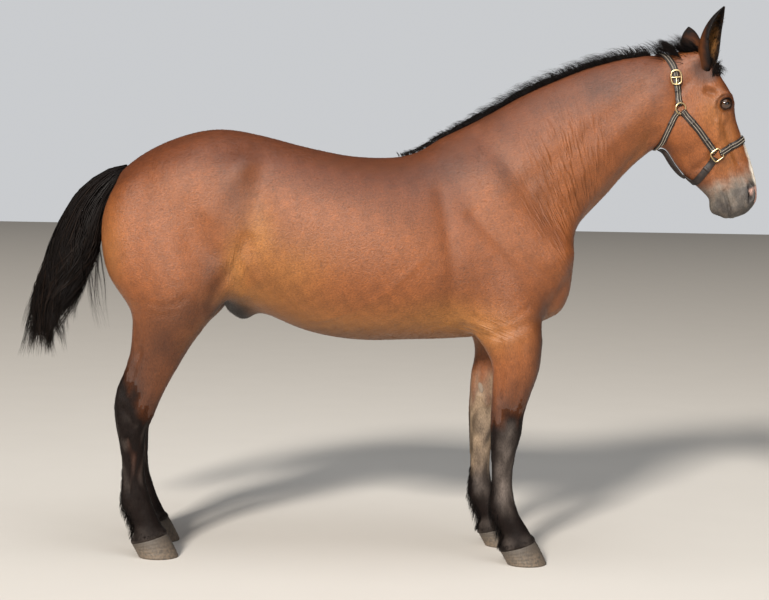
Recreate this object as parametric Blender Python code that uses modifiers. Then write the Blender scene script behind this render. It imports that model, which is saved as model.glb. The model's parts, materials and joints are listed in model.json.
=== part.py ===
"""A heavy bay horse standing still in a leather halter, life size.

Units are metres, +Z is up, +X is forward (the way the horse faces) and +Y is its left.
The origin is on the ground, under the middle of the model's box.
"""

import math
import random

import bmesh
import bpy
import numpy as np
from mathutils import Matrix, Vector
from mathutils.bvhtree import BVHTree

# How the flesh is fused: the voxel that joins the forms, and the triangles kept afterwards.
BODY_VOXEL = 0.010
BODY_TRIANGLES = 4500
HEAD_SPARED = 0.010
STRAP_SHARE = 0.24
GAP = 0.0003
CLEARANCE = 0.0010

# Trunk, in upright rings from the tail to the breast: x, top, bottom, level of the widest
# place, half width, and how full the top of the ring is (2 is an ellipse, less is a ridge).
TRUNK = (
    (-1.045, 1.470, 1.180, 1.360, 0.120, 2.0),
    (-0.960, 1.537, 1.080, 1.350, 0.225, 2.1),
    (-0.800, 1.617, 1.020, 1.340, 0.290, 2.2),
    (-0.655, 1.650, 0.990, 1.320, 0.300, 2.3),
    (-0.500, 1.630, 0.945, 1.250, 0.300, 2.3),
    (-0.300, 1.582, 0.866, 1.200, 0.330, 2.3),
    (-0.090, 1.549, 0.834, 1.170, 0.345, 2.2),
    (0.100, 1.566, 0.840, 1.170, 0.330, 1.9),
    (0.260, 1.655, 0.846, 1.170, 0.295, 1.55),
    (0.400, 1.650, 0.860, 1.160, 0.270, 1.7),
    (0.550, 1.560, 0.895, 1.150, 0.245, 2.0),
    (0.660, 1.440, 0.950, 1.160, 0.215, 2.0),
    (0.725, 1.340, 1.060, 1.190, 0.140, 2.0),
)

# Neck, in rings square to its own line: x, z, up to the crest, down to the throat, half
# width, fullness of the crest.
NECK = (
    (0.360, 1.360, 0.320, 0.300, 0.235, 1.7),
    (0.520, 1.480, 0.285, 0.290, 0.205, 1.6),
    (0.680, 1.600, 0.262, 0.262, 0.165, 1.5),
    (0.830, 1.705, 0.225, 0.222, 0.135, 1.5),
    (0.960, 1.772, 0.192, 0.196, 0.122, 1.6),
    (1.090, 1.810, 0.165, 0.160, 0.112, 1.8),
)

# Head, in rings square to the line of the face: distance down the head, up to the face,
# down to the jaw, half width, fullness towards the face, fullness towards the jaw.
HEAD_ROOT = Vector((1.120, 0.0, 1.930))
HEAD_PITCH = math.radians(66.4)
HEAD = (
    (-0.045, 0.020, 0.060, 0.060, 2.0, 2.0),
    (0.000, 0.070, 0.110, 0.085, 2.2, 2.0),
    (0.070, 0.112, 0.130, 0.094, 2.4, 2.0),
    (0.150, 0.136, 0.150, 0.102, 2.8, 2.0),
    (0.210, 0.140, 0.165, 0.106, 2.8, 2.0),
    (0.280, 0.123, 0.176, 0.098, 2.3, 2.0),
    (0.350, 0.121, 0.166, 0.084, 2.0, 2.1),
    (0.420, 0.121, 0.142, 0.071, 1.9, 2.2),
    (0.480, 0.117, 0.112, 0.062, 1.9, 2.3),
    (0.535, 0.108, 0.088, 0.060, 2.1, 2.3),
    (0.585, 0.092, 0.070, 0.062, 2.3, 2.3),
    (0.620, 0.066, 0.048, 0.054, 2.2, 2.2),
    (0.640, 0.030, 0.020, 0.030, 2.0, 2.0),
)

# Legs, in rings square to their own line: x, out from the middle, z, forward, back, half
# width. The first rings lie inside the trunk.
FORE_LEG = (
    (0.470, 0.165, 1.020, 0.130, 0.150, 0.085),
    (0.478, 0.178, 0.940, 0.128, 0.160, 0.088),
    (0.495, 0.184, 0.860, 0.118, 0.130, 0.084),
    (0.503, 0.186, 0.780, 0.104, 0.100, 0.076),
    (0.492, 0.184, 0.680, 0.082, 0.084, 0.062),
    (0.478, 0.181, 0.580, 0.064, 0.070, 0.053),
    (0.471, 0.179, 0.505, 0.062, 0.062, 0.057),
    (0.466, 0.177, 0.445, 0.052, 0.054, 0.050),
    (0.463, 0.175, 0.370, 0.044, 0.047, 0.036),
    (0.463, 0.173, 0.280, 0.045, 0.047, 0.037),
    (0.468, 0.172, 0.215, 0.053, 0.056, 0.047),
    (0.490, 0.171, 0.165, 0.050, 0.052, 0.046),
    (0.518, 0.170, 0.122, 0.050, 0.054, 0.049),
    (0.525, 0.170, 0.092, 0.062, 0.070, 0.061),
    (0.528, 0.170, 0.065, 0.062, 0.072, 0.064),
    (0.530, 0.170, 0.040, 0.060, 0.070, 0.062),
)
HIND_LEG = (
    (-0.780, 0.120, 1.420, 0.180, 0.220, 0.130),
    (-0.820, 0.150, 1.290, 0.220, 0.262, 0.150),
    (-0.830, 0.168, 1.170, 0.215, 0.250, 0.152),
    (-0.820, 0.180, 1.050, 0.215, 0.215, 0.142),
    (-0.815, 0.184, 0.960, 0.170, 0.170, 0.120),
    (-0.838, 0.182, 0.870, 0.128, 0.130, 0.096),
    (-0.868, 0.177, 0.780, 0.106, 0.106, 0.076),
    (-0.905, 0.172, 0.690, 0.092, 0.092, 0.062),
    (-0.937, 0.168, 0.610, 0.086, 0.090, 0.057),
    (-0.954, 0.165, 0.540, 0.078, 0.074, 0.056),
    (-0.956, 0.163, 0.470, 0.056, 0.058, 0.048),
    (-0.950, 0.160, 0.380, 0.047, 0.050, 0.038),
    (-0.948, 0.158, 0.290, 0.048, 0.051, 0.039),
    (-0.940, 0.156, 0.220, 0.058, 0.060, 0.050),
    (-0.915, 0.155, 0.165, 0.052, 0.055, 0.047),
    (-0.893, 0.155, 0.122, 0.050, 0.054, 0.049),
    (-0.888, 0.155, 0.092, 0.062, 0.068, 0.060),
    (-0.886, 0.155, 0.065, 0.062, 0.070, 0.062),
    (-0.885, 0.155, 0.040, 0.060, 0.068, 0.060),
)
# How far the left legs stand behind the right ones.
FORE_STAGGER = -0.066
HIND_STAGGER = -0.032

# Muscles and bones that stand out, on both sides: centre, radii, and pitch about Y in degrees.
MUSCLES = (
    ((0.440, 0.138, 1.320), (0.110, 0.108, 0.280), -32),
    ((0.630, 0.150, 1.190), (0.100, 0.090, 0.110), 0),
    ((0.640, 0.080, 1.080), (0.085, 0.085, 0.150), 0),
    ((0.440, 0.180, 1.060), (0.170, 0.090, 0.150), 20),
    ((0.390, 0.180, 0.960), (0.090, 0.072, 0.075), 0),
    ((-0.660, 0.185, 1.090), (0.110, 0.105, 0.150), 20),
    ((-0.700, 0.190, 0.990), (0.085, 0.085, 0.100), 0),
    ((-0.560, 0.205, 1.440), (0.120, 0.088, 0.120), 0),
    ((-0.920, 0.140, 1.270), (0.160, 0.115, 0.220), 12),
    ((0.600, 0.095, 1.430), (0.110, 0.085, 0.200), -45),
    ((-0.565, 0.000, 0.950), (0.075, 0.050, 0.052), 30),
)


def head_point(down, up, out=0.0):
    """A point of the head, from its distance down the head, up to the face and out sideways."""
    along = Vector((math.cos(HEAD_PITCH), 0, -math.sin(HEAD_PITCH)))
    across = Vector((math.sin(HEAD_PITCH), 0, math.cos(HEAD_PITCH)))
    return HEAD_ROOT + along * down + across * up + Vector((0, out, 0))


# Forms of the head, on both sides: place down, up and out, then radii down, up and out.
HEAD_FORMS = (
    ((0.225, -0.060, 0.050), (0.120, 0.120, 0.056)),
    ((0.330, 0.015, 0.052), (0.120, 0.030, 0.026)),
    ((0.190, 0.086, 0.062), (0.050, 0.040, 0.038)),
    ((0.211, 0.088, 0.076), (0.036, 0.029, 0.0305)),
    ((0.120, 0.080, 0.048), (0.085, 0.045, 0.045)),
    ((0.572, 0.040, 0.036), (0.050, 0.048, 0.036)),
    ((0.592, 0.002, 0.022), (0.044, 0.040, 0.040)),
    ((0.572, -0.066, 0.010), (0.040, 0.040, 0.034)),
    ((0.600, -0.040, 0.014), (0.036, 0.034, 0.036)),
    ((0.020, 0.050, 0.055), (0.045, 0.045, 0.035)),
)


def clear_scene():
    for obj in list(bpy.data.objects):
        bpy.data.objects.remove(obj)


def spline(rows, count):
    """Rows of numbers read from a smooth curve through the given rows."""
    rows = np.array(rows, float)
    steps = np.linalg.norm(np.diff(rows[:, :3], axis=0), axis=1)
    marks = np.concatenate([[0], np.cumsum(steps)])
    slopes = np.gradient(rows, marks, axis=0)
    places = np.linspace(0, marks[-1], count)
    index = np.clip(np.searchsorted(marks, places, side="right") - 1, 0, len(rows) - 2)
    span = (marks[index + 1] - marks[index])[:, None]
    t = ((places - marks[index])[:, None]) / span
    return (
        (2 * t**3 - 3 * t**2 + 1) * rows[index]
        + (t**3 - 2 * t**2 + t) * span * slopes[index]
        + (3 * t**2 - 2 * t**3) * rows[index + 1]
        + (t**3 - t**2) * span * slopes[index + 1]
    )


def ring(centre, up_way, side_way, up, down, side, crown, keel, sides):
    """A closed ring whose top and bottom halves are superellipses of their own."""
    points = []
    for i in range(sides):
        turn = 2 * math.pi * i / sides
        across, rise = math.cos(turn), math.sin(turn)
        power = 2 / (crown if rise > 0 else keel)
        reach = up if rise > 0 else down
        out = math.copysign(abs(across) ** power, across) * side
        high = math.copysign(abs(rise) ** power, rise) * reach
        points.append(centre + up_way * high + side_way * out)
    return points


def loft(rings):
    """A closed mesh through rings of equal count, capped at both ends."""
    made = bmesh.new()
    loops = [[made.verts.new(point) for point in points] for points in rings]
    count = len(loops[0])
    for low, high in zip(loops, loops[1:]):
        for i in range(count):
            j = (i + 1) % count
            made.faces.new((low[i], low[j], high[j], high[i]))
    made.faces.new(loops[0][::-1])
    made.faces.new(loops[-1])
    bmesh.ops.recalc_face_normals(made, faces=made.faces)
    mesh = bpy.data.meshes.new("loft")
    made.to_mesh(mesh)
    made.free()
    return mesh


def limb(rows, count=40, sides=28, axis=None, keel=2.1):
    """A loft along a line: x, y, z, up or forward, down or back, half width, crown."""
    table = spline(rows, count)
    centres = [Vector(row[:3]) for row in table]
    rings = []
    for i, row in enumerate(table):
        before, after = centres[max(i - 1, 0)], centres[min(i + 1, count - 1)]
        tangent = axis or (after - before).normalized()
        side_way = Vector((0, 1, 0))
        up_way = tangent.cross(side_way).normalized()
        crown = row[6] if len(row) > 6 else 2.1
        low = row[7] if len(row) > 7 else keel
        rings.append(ring(centres[i], up_way, side_way, *row[3:6], crown, low, sides))
    return loft(rings)


def ball(centre, radii, pitch=0.0, segments=20):
    made = bmesh.new()
    bmesh.ops.create_uvsphere(made, u_segments=segments, v_segments=segments // 2, radius=1)
    turn = Matrix.Rotation(math.radians(pitch), 4, "Y")
    place = Matrix.Translation(centre) @ turn @ Matrix.Diagonal((*radii, 1))
    bmesh.ops.transform(made, matrix=place, verts=made.verts)
    mesh = bpy.data.meshes.new("ball")
    made.to_mesh(mesh)
    made.free()
    return mesh


def both_sides(place):
    return [Vector((place[0], sign * place[1], place[2])) for sign in (-1, 1)]


def trunk_forms():
    rows = []
    for x, top, bottom, level, half, crown in TRUNK:
        rows.append((x, 0, level, top - level, level - bottom, half, crown))
    return [limb(rows, 60, 36, Vector((1, 0, 0)))]


def neck_forms():
    rows = [(x, 0, z, up, down, half, crown) for x, z, up, down, half, crown in NECK]
    return [limb(rows, 36, 32)]


def head_forms():
    rows = []
    for down, face, jaw, half, crown, keel in HEAD:
        rows.append((*head_point(down, 0), face, jaw, half, crown, keel))
    axis = head_point(1, 0) - head_point(0, 0)
    forms = [limb(rows, 56, 32, axis)]
    for (down, up, out), (long, deep, wide) in HEAD_FORMS:
        for sign in (-1, 1):
            centre = head_point(down, up, sign * out)
            forms.append(ball(centre, (deep, wide, long), math.degrees(HEAD_PITCH) - 90))
    return forms


def leg_forms():
    forms = []
    for rows, stagger, reach in ((FORE_LEG, FORE_STAGGER, 2.8), (HIND_LEG, HIND_STAGGER, 1.35)):
        for sign in (-1, 1):
            shift = stagger if sign > 0 else 0
            low, high = rows[-1][2], rows[0][2]
            table = []
            for x, out, z, front, back, half in rows:
                share = min(1, reach * (high - z) / (high - low))
                table.append((x + shift * share, sign * out, z, front, back, half))
            forms.append(limb(table, 60, 24))
    return forms


def muscle_forms():
    forms = []
    for centre, radii, pitch in MUSCLES:
        for place in both_sides(centre):
            forms.append(ball(place, radii, pitch))
    return forms


def new_object(name, mesh, collection):
    obj = bpy.data.objects.new(name, mesh)
    collection.objects.link(obj)
    return obj


def joined(meshes, name, collection):
    """One object that holds all the meshes, still as separate closed forms."""
    made = bmesh.new()
    for mesh in meshes:
        made.from_mesh(mesh)
        bpy.data.meshes.remove(mesh)
    whole = bpy.data.meshes.new(name)
    made.to_mesh(whole)
    made.free()
    return new_object(name, whole, collection)


def settled(obj):
    """Applies the object's modifiers."""
    graph = bpy.context.evaluated_depsgraph_get()
    mesh = bpy.data.meshes.new_from_object(obj.evaluated_get(graph))
    old = obj.data
    obj.modifiers.clear()
    obj.data = mesh
    bpy.data.meshes.remove(old)
    return obj


def relax(mesh, softness, passes):
    """Smooths the mesh, each vertex by its own softness from 0 to 1."""
    count = len(mesh.vertices)
    points = np.empty(count * 3)
    mesh.vertices.foreach_get("co", points)
    points = points.reshape(-1, 3)
    ends = np.empty(len(mesh.edges) * 2, np.int64)
    mesh.edges.foreach_get("vertices", ends)
    ends = ends.reshape(-1, 2)
    start = np.concatenate([ends[:, 0], ends[:, 1]])
    finish = np.concatenate([ends[:, 1], ends[:, 0]])
    number = np.bincount(start, minlength=count)[:, None]
    soft = softness(points)[:, None]
    for _ in range(passes):
        total = np.stack([np.bincount(start, points[finish, k], count) for k in range(3)], 1)
        points = points + soft * 0.5 * (total / number - points)
    mesh.vertices.foreach_set("co", points.ravel())
    mesh.update()


def body_softness(points):
    """The trunk and the roots of the legs blend widely, and the head and lower legs little."""
    x, z = points[:, 0], points[:, 2]
    lower_leg = np.clip((z - 0.55) / 0.35, 0.05, 1)
    head = 1 - 0.93 * np.clip((x - 1.02) / 0.12, 0, 1)
    return lower_leg * head


def paint_decimation(obj):
    """Weights that make the collapse spare the head."""
    group = obj.vertex_groups.new(name="collapse")
    for vertex in obj.data.vertices:
        head = max(0.0, min(1.0, (vertex.co.x - 1.02) / 0.08))
        group.add([vertex.index], 1 - 0.5 * head, "REPLACE")
    return group.name


def fused_body(collection):
    """All the flesh as one skin."""
    forms = trunk_forms() + neck_forms() + head_forms() + leg_forms() + muscle_forms()
    body = joined(forms, "body", collection)
    remesh = body.modifiers.new("fuse", "REMESH")
    remesh.mode = "VOXEL"
    remesh.voxel_size = BODY_VOXEL
    settled(body)
    relax(body.data, body_softness, 40)
    collapse = body.modifiers.new("collapse", "DECIMATE")
    collapse.ratio = BODY_TRIANGLES / (2 * len(body.data.polygons))
    collapse.vertex_group = paint_decimation(body)
    collapse.vertex_group_factor = HEAD_SPARED
    collapse.use_collapse_triangulate = True
    return settled(body)


def boolean(obj, others, operation):
    """Unites, cuts or intersects the object with others, which are used up."""
    tools = bpy.data.collections.new("tools")
    bpy.context.scene.collection.children.link(tools)
    for other in others:
        for owner in list(other.users_collection):
            owner.objects.unlink(other)
        tools.objects.link(other)
    modifier = obj.modifiers.new("boolean", "BOOLEAN")
    modifier.operation = operation
    modifier.solver = "EXACT"
    modifier.operand_type = "COLLECTION"
    modifier.collection = tools
    settled(obj)
    for other in list(tools.objects):
        bpy.data.objects.remove(other)
    bpy.data.collections.remove(tools)
    return obj


def islands(mesh):
    """The face numbers of each surface, where faces join across whole edges."""
    parent = list(range(len(mesh.polygons)))

    def find(i):
        while parent[i] != i:
            parent[i] = parent[parent[i]]
            i = parent[i]
        return i

    first = {}
    for face in mesh.polygons:
        for key in face.edge_keys:
            other = find(first.setdefault(key, face.index))
            parent[find(face.index)] = other
    groups = {}
    for i in range(len(parent)):
        groups.setdefault(find(i), []).append(i)
    return list(groups.values())


def corners_of(mesh, group):
    """The places of the vertices of these faces."""
    used = {i for face in group for i in mesh.polygons[face].vertices}
    return np.array([mesh.vertices[i].co for i in used])


def keep_faces(mesh, keep):
    """A copy of the mesh with only these faces."""
    made = bmesh.new()
    made.from_mesh(mesh)
    keep = set(keep)
    bmesh.ops.delete(made, geom=[f for f in made.faces if f.index not in keep], context="FACES")
    part = mesh.copy()
    made.to_mesh(part)
    made.free()
    return part


def keep_largest(obj):
    """Drops all but the surface that spans the most."""
    groups = islands(obj.data)
    if len(groups) > 1:
        spans = [np.prod(np.ptp(corners_of(obj.data, group), axis=0) + 1e-6) for group in groups]
        obj.data = keep_faces(obj.data, groups[int(np.argmax(spans))])
    return obj


def block(centre, size, pitch=0.0):
    """A closed box, turned about Y by the pitch in radians."""
    made = bmesh.new()
    bmesh.ops.create_cube(made, size=1)
    place = Matrix.Translation(centre) @ Matrix.Rotation(pitch, 4, "Y") @ Matrix.Diagonal((*size, 1))
    bmesh.ops.transform(made, matrix=place, verts=made.verts)
    mesh = bpy.data.meshes.new("block")
    made.to_mesh(mesh)
    made.free()
    return mesh


def slab(start, end, out_low, out_high, thick=GAP):
    """A thin plate seen edge on from the side, from one (x, z) to another."""
    run, rise = end[0] - start[0], end[1] - start[1]
    centre = ((start[0] + end[0]) / 2, (out_low + out_high) / 2, (start[1] + end[1]) / 2)
    return block(centre, (math.hypot(run, rise), out_high - out_low, thick), -math.atan2(rise, run))


# Where the body is parted: name, the line of the cut seen from the side, how far out it runs.
CUTS = (
    ("neck", (0.215, 1.745), (0.845, 1.225), -0.45, 0.45),
    ("head", (1.012, 2.060), (1.052, 1.480), -0.30, 0.30),
    ("dock", (-1.010, 1.600), (-1.085, 1.330), -0.20, 0.20),
    ("barrel", (0.130, 0.700), (0.130, 1.900), -0.45, 0.45),
    ("loin", (-0.470, 0.700), (-0.470, 1.900), -0.45, 0.45),
    ("fore", (0.270, 0.836), (0.680, 0.868), 0.075, 0.35),
    ("fore", (0.270, 0.836), (0.680, 0.868), -0.35, -0.075),
    ("hind", (-1.120, 0.905), (-0.640, 0.905), 0.02, 0.35),
    ("hind", (-1.120, 0.905), (-0.640, 0.905), -0.35, -0.02),
    ("knee", (0.250, 0.500), (0.650, 0.500), -0.35, 0.35),
    ("hock", (-1.150, 0.560), (-0.780, 0.500), -0.35, 0.35),
)
# A point of each piece of the body.
PIECES = {
    "head": (1.300, 0.0, 1.500),
    "neck": (0.700, 0.0, 1.600),
    "forehand": (0.450, 0.0, 1.100),
    "barrel": (-0.150, 0.0, 1.200),
    "hindquarters": (-0.800, 0.0, 1.300),
    "forearm_right": (0.490, -0.184, 0.680),
    "forearm_left": (0.424, 0.184, 0.680),
    "fore_shank_right": (0.463, -0.174, 0.330),
    "fore_shank_left": (0.397, 0.174, 0.330),
    "gaskin_right": (-0.868, -0.177, 0.780),
    "gaskin_left": (-0.900, 0.177, 0.780),
    "hind_shank_right": (-0.950, -0.160, 0.350),
    "hind_shank_left": (-0.982, 0.160, 0.350),
}


def parted(body, collection):
    """The body's pieces by name, with thin gaps between them."""
    plates = []
    for number, cut in enumerate(CUTS):
        plates.append(new_object(f"plate_{number}", slab(*cut[1:]), collection))
    boolean(body, plates, "DIFFERENCE")
    found = {}
    groups = islands(body.data)
    points = [corners_of(body.data, group) for group in groups]
    for name, probe in PIECES.items():
        reach = [np.linalg.norm(p - np.array(probe), axis=1).min() for p in points]
        best = int(np.argmin(reach))
        mesh = keep_faces(body.data, groups[best])
        found[name] = new_object(name, mesh, collection)
    bpy.data.objects.remove(body)
    return found


# Hooves: middle of the sole, half length, half width, height at the toe and at the heel.
HOOVES = {
    "fore_hoof_right": ("fore_shank_right", 0.562, -0.170, 0.079, 0.074, 0.106, 0.056),
    "fore_hoof_left": ("fore_shank_left", 0.496, 0.170, 0.079, 0.074, 0.106, 0.056),
    "hind_hoof_right": ("hind_shank_right", -0.852, -0.155, 0.078, 0.070, 0.106, 0.058),
    "hind_hoof_left": ("hind_shank_left", -0.884, 0.155, 0.078, 0.070, 0.106, 0.058),
}
HOOF_SIDES = 20
TOE_SLOPE = 0.46


def hoof_ring(middle, out, long, wide, lift):
    """One level of a hoof: round in front, flatter at the heel."""
    points = []
    for i in range(HOOF_SIDES):
        turn = 2 * math.pi * i / HOOF_SIDES
        across, ahead = math.sin(turn), math.cos(turn)
        if ahead < 0:
            ahead = -abs(ahead) ** 0.75
        x = middle + long * ahead
        points.append(Vector((x, out + wide * across * (1.0 - 0.12 * (ahead < 0) * -ahead), lift(x))))
    return points


def hoof(middle, out, long, wide, toe, heel):
    """The horn capsule, from its flat sole to the sloping coronet."""

    def coronet(x):
        return heel + (toe - heel) * (x - middle + long) / (2 * long) - GAP

    rings = []
    for share, flare in ((0.0, 0.965), (0.06, 1.0), (0.90, 0.905), (1.0, 0.875)):
        def lift(x, share=share):
            return coronet(x) * share

        shift = -TOE_SLOPE * share * (toe + heel) / 2
        rings.append(hoof_ring(middle + shift, out, long * flare, wide * flare, lift))
    return loft(rings)


def add_hooves(pieces, collection):
    """Cuts each leg off along its coronet and sets the hoof under it."""
    for name, (leg, middle, out, long, wide, toe, heel) in HOOVES.items():
        slope = math.atan2(toe - heel, 2 * long)
        surface = Vector((middle, out, (toe + heel) / 2))
        below = surface + Vector((math.sin(slope), 0, -math.cos(slope))) * 0.15
        under = new_object("under", block(below, (0.6, 0.28, 0.3), -slope), collection)
        keep_largest(boolean(pieces[leg], [under], "DIFFERENCE"))
        pieces[name] = new_object(name, hoof(middle, out, long, wide, toe, heel), collection)


# Eyes, in the head's own directions: down, up and out, and the ball's radius.
EYE_PLACE = (0.211, 0.088, 0.078)
EYE_RADIUS = 0.0245


def eye_centre(sign):
    return head_point(EYE_PLACE[0], EYE_PLACE[1], sign * EYE_PLACE[2])


def add_eyes(pieces, collection):
    """Sets an eyeball in a socket behind an almond opening."""
    for side, sign in (("right", -1), ("left", 1)):
        centre = eye_centre(sign)
        socket = ball(centre, (EYE_RADIUS + GAP,) * 3, segments=14)
        boolean(pieces["head"], [new_object("socket", socket, collection)], "DIFFERENCE")
        outward = Vector((0.25, sign, 0.05)).normalized()
        along = Vector((0.85, 0, 0.35)).normalized()
        along = (along - outward * along.dot(outward)).normalized()
        over = outward.cross(along)
        rings = []
        for depth, grow in ((0.006, 0.8), (0.016, 0.9), (0.045, 1.3)):
            points = []
            for i in range(16):
                turn = 2 * math.pi * i / 16
                wide = 0.0235 * grow * math.cos(turn)
                high = 0.0180 * grow * math.copysign(abs(math.sin(turn)) ** 1.3, math.sin(turn))
                points.append(centre + outward * depth + along * wide + over * high)
            rings.append(points)
        opening = new_object("opening", loft(rings), collection)
        keep_largest(boolean(pieces["head"], [opening], "DIFFERENCE"))
        name = f"eye_{side}"
        pieces[name] = new_object(name, ball(centre, (EYE_RADIUS,) * 3, segments=14), collection)


def cut_mouth(pieces, collection):
    """Nostrils and the line between the lips."""
    tools = []
    for sign in (-1, 1):
        hole = ball((1.400, sign * 0.052, 1.432), (0.0085, 0.020, 0.030), -12, 14)
        tools.append(new_object("nostril", hole, collection))
    lips = slab((1.300, 1.436), (1.340, 1.300), -0.2, 0.2, 0.0025)
    tools.append(new_object("lips", lips, collection))
    keep_largest(boolean(pieces["head"], tools, "DIFFERENCE"))


# Ears: base, tip, the way the cup faces, and the widest radius.
EARS = {
    "ear_right": ((1.212, -0.058, 1.905), (1.270, -0.100, 2.139), (0.55, -0.83, 0.0), 0.043),
    "ear_left": ((1.190, 0.056, 1.910), (1.180, 0.160, 2.080), (0.35, 0.80, -0.45), 0.043),
}
# Share of the length, share of the radius, half angle of the cup, wall.
EAR_ROWS = (
    (-0.08, 0.62, 160, 0.0080),
    (0.06, 0.74, 158, 0.0070),
    (0.20, 0.90, 140, 0.0060),
    (0.36, 1.00, 118, 0.0055),
    (0.52, 0.98, 104, 0.0050),
    (0.68, 0.84, 96, 0.0045),
    (0.85, 0.54, 92, 0.0038),
    (1.00, 0.10, 88, 0.0024),
)


EAR_POINTS = 7


def ear(base, tip, faces, radius):
    """A cupped leaf: a curled wall that tapers to the tip."""
    base, tip = Vector(base), Vector(tip)
    axis = tip - base
    way = axis.normalized()
    front = Vector(faces)
    front = (front - way * front.dot(way)).normalized()
    side = way.cross(front)
    rings = []
    for share, size, half, wall in EAR_ROWS:
        bend = -front * 0.012 * math.sin(math.pi * min(1, max(0, share)))
        middle = base + axis * share + bend
        r = radius * size
        points = []
        for inner, order in ((0, 1), (1, -1)):
            for k in range(EAR_POINTS)[::order]:
                turn = math.radians(half) * (2 * k / (EAR_POINTS - 1) - 1)
                reach = r - wall * inner
                points.append(middle - front * math.cos(turn) * reach + side * math.sin(turn) * reach)
        rings.append(points)
    return loft(rings)


def grown(obj, amount, name, collection):
    """A copy of the object with its surface moved outwards."""
    mesh = obj.data.copy()
    normals = np.array([v.normal for v in mesh.vertices])
    points = np.array([v.co for v in mesh.vertices]) + normals * amount
    mesh.vertices.foreach_set("co", points.ravel())
    mesh.update()
    return new_object(name, mesh, collection)


def add_ears(pieces, skin, collection):
    for name, (base, tip, faces, radius) in EARS.items():
        pieces[name] = new_object(name, ear(base, tip, faces, radius), collection)
        around = grown(skin, CLEARANCE, "around", collection)
        keep_largest(boolean(pieces[name], [around], "DIFFERENCE"))


# Halter straps as lines seen from the side: x and z.
STRAPS = (
    ((1.020, 2.020), (1.037, 1.973), (1.061, 1.950), (1.088, 1.910), (1.096, 1.870),
     (1.103, 1.820), (1.110, 1.752)),
    ((1.110, 1.752), (1.186, 1.671), (1.261, 1.578)),
    ((1.400, 1.658), (1.363, 1.637), (1.298, 1.599), (1.261, 1.578), (1.247, 1.548),
     (1.206, 1.491), (1.174, 1.447), (1.120, 1.375)),
    ((1.110, 1.752), (1.092, 1.721), (1.070, 1.664), (1.053, 1.616), (1.046, 1.569),
     (1.043, 1.500)),
)
STRAP_WIDTH = 0.025
STRAP_UNDER = 0.0022
STRAP_OVER = 0.0060


def prism(line, width):
    """A band of this width along a line seen from the side, run right through the head."""
    points = [Vector((x, 0, z)) for x, z in line]
    left, right = [], []
    for i, point in enumerate(points):
        before, after = points[max(i - 1, 0)], points[min(i + 1, len(points) - 1)]
        along = (after - before).normalized()
        across = Vector((-along.z, 0, along.x)) * width / 2
        left.append(point + across)
        right.append(point - across)
    rings = []
    for a, b in zip(left, right):
        rings.append([a + Vector((0, -0.3, 0)), a + Vector((0, 0.3, 0)),
                      b + Vector((0, 0.3, 0)), b + Vector((0, -0.3, 0))])
    return loft(rings)


def head_end(skin, name, amount, collection):
    """The front of the skin, closed behind the poll and moved out a little."""
    obj = grown(skin, amount, name, collection)
    made = bmesh.new()
    made.from_mesh(obj.data)
    geometry = made.verts[:] + made.edges[:] + made.faces[:]
    cut = bmesh.ops.bisect_plane(made, geom=geometry, plane_co=(0.93, 0, 0),
                                 plane_no=(-1, 0, 0), clear_outer=True)
    edges = [e for e in cut["geom_cut"] if isinstance(e, bmesh.types.BMEdge)]
    bmesh.ops.triangle_fill(made, edges=edges, use_beauty=True)
    bmesh.ops.recalc_face_normals(made, faces=made.faces)
    made.to_mesh(obj.data)
    made.free()
    return obj


def add_straps(pieces, skin, collection):
    """The leather of the halter, everywhere between two skins just above the head's own."""
    bands = [new_object("band", prism(line, STRAP_WIDTH), collection) for line in STRAPS]
    straps = bands.pop()
    straps.name = "halter_straps"
    boolean(straps, bands, "UNION")
    boolean(straps, [head_end(skin, "over", STRAP_OVER, collection)], "INTERSECT")
    boolean(straps, [head_end(skin, "under", STRAP_UNDER, collection)], "DIFFERENCE")
    collapse = straps.modifiers.new("collapse", "DECIMATE")
    collapse.ratio = STRAP_SHARE
    collapse.use_collapse_triangulate = True
    boolean(settled(straps), [head_end(skin, "clear", 2 * GAP, collection)], "DIFFERENCE")
    pieces["halter_straps"] = keep_largest(straps)


def add_jaw_strap(pieces, skin, collection):
    """The strap under the jaw, from the throat to the chin."""
    tree = BVHTree.FromObject(skin, bpy.context.evaluated_depsgraph_get())
    rings = []
    for x in np.linspace(1.062, 1.160, 7):
        spot, normal, _, _ = tree.ray_cast(Vector((x, 0, 1.2)), Vector((0, 0, 1)))
        across = Vector((normal.x, 0, normal.z)).normalized()
        middle = spot + across * (STRAP_OVER + 0.007)
        wide = Vector((0, 0.011, 0))
        across = across * 0.002
        rings.append([middle + across - wide, middle + across + wide,
                      middle - across + wide, middle - across - wide])
    pieces["halter_jaw_strap"] = new_object("halter_jaw_strap", loft(rings), collection)


HOOP_SIDES = 4


def hoop(centre, along, across, long, wide, wire, squareness, sides=14):
    """A closed ring of wire in the plane of two directions."""
    rings = []
    out = along.cross(across).normalized()
    for i in range(sides):
        turn = 2 * math.pi * i / sides
        a = math.copysign(abs(math.cos(turn)) ** squareness, math.cos(turn))
        b = math.copysign(abs(math.sin(turn)) ** squareness, math.sin(turn))
        reach = along * a * long + across * b * wide
        way = reach.normalized()
        ring_points = []
        for k in range(HOOP_SIDES):
            angle = 2 * math.pi * k / HOOP_SIDES
            ring_points.append(centre + reach + (way * math.cos(angle) + out * math.sin(angle)) * wire)
        rings.append(ring_points)
    made = bmesh.new()
    loops = [[made.verts.new(p) for p in points] for points in rings]
    for i in range(sides):
        low, high = loops[i], loops[(i + 1) % sides]
        for k in range(HOOP_SIDES):
            j = (k + 1) % HOOP_SIDES
            made.faces.new((low[k], low[j], high[j], high[k]))
    bmesh.ops.recalc_face_normals(made, faces=made.faces)
    mesh = bpy.data.meshes.new("hoop")
    made.to_mesh(mesh)
    made.free()
    return mesh


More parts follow.
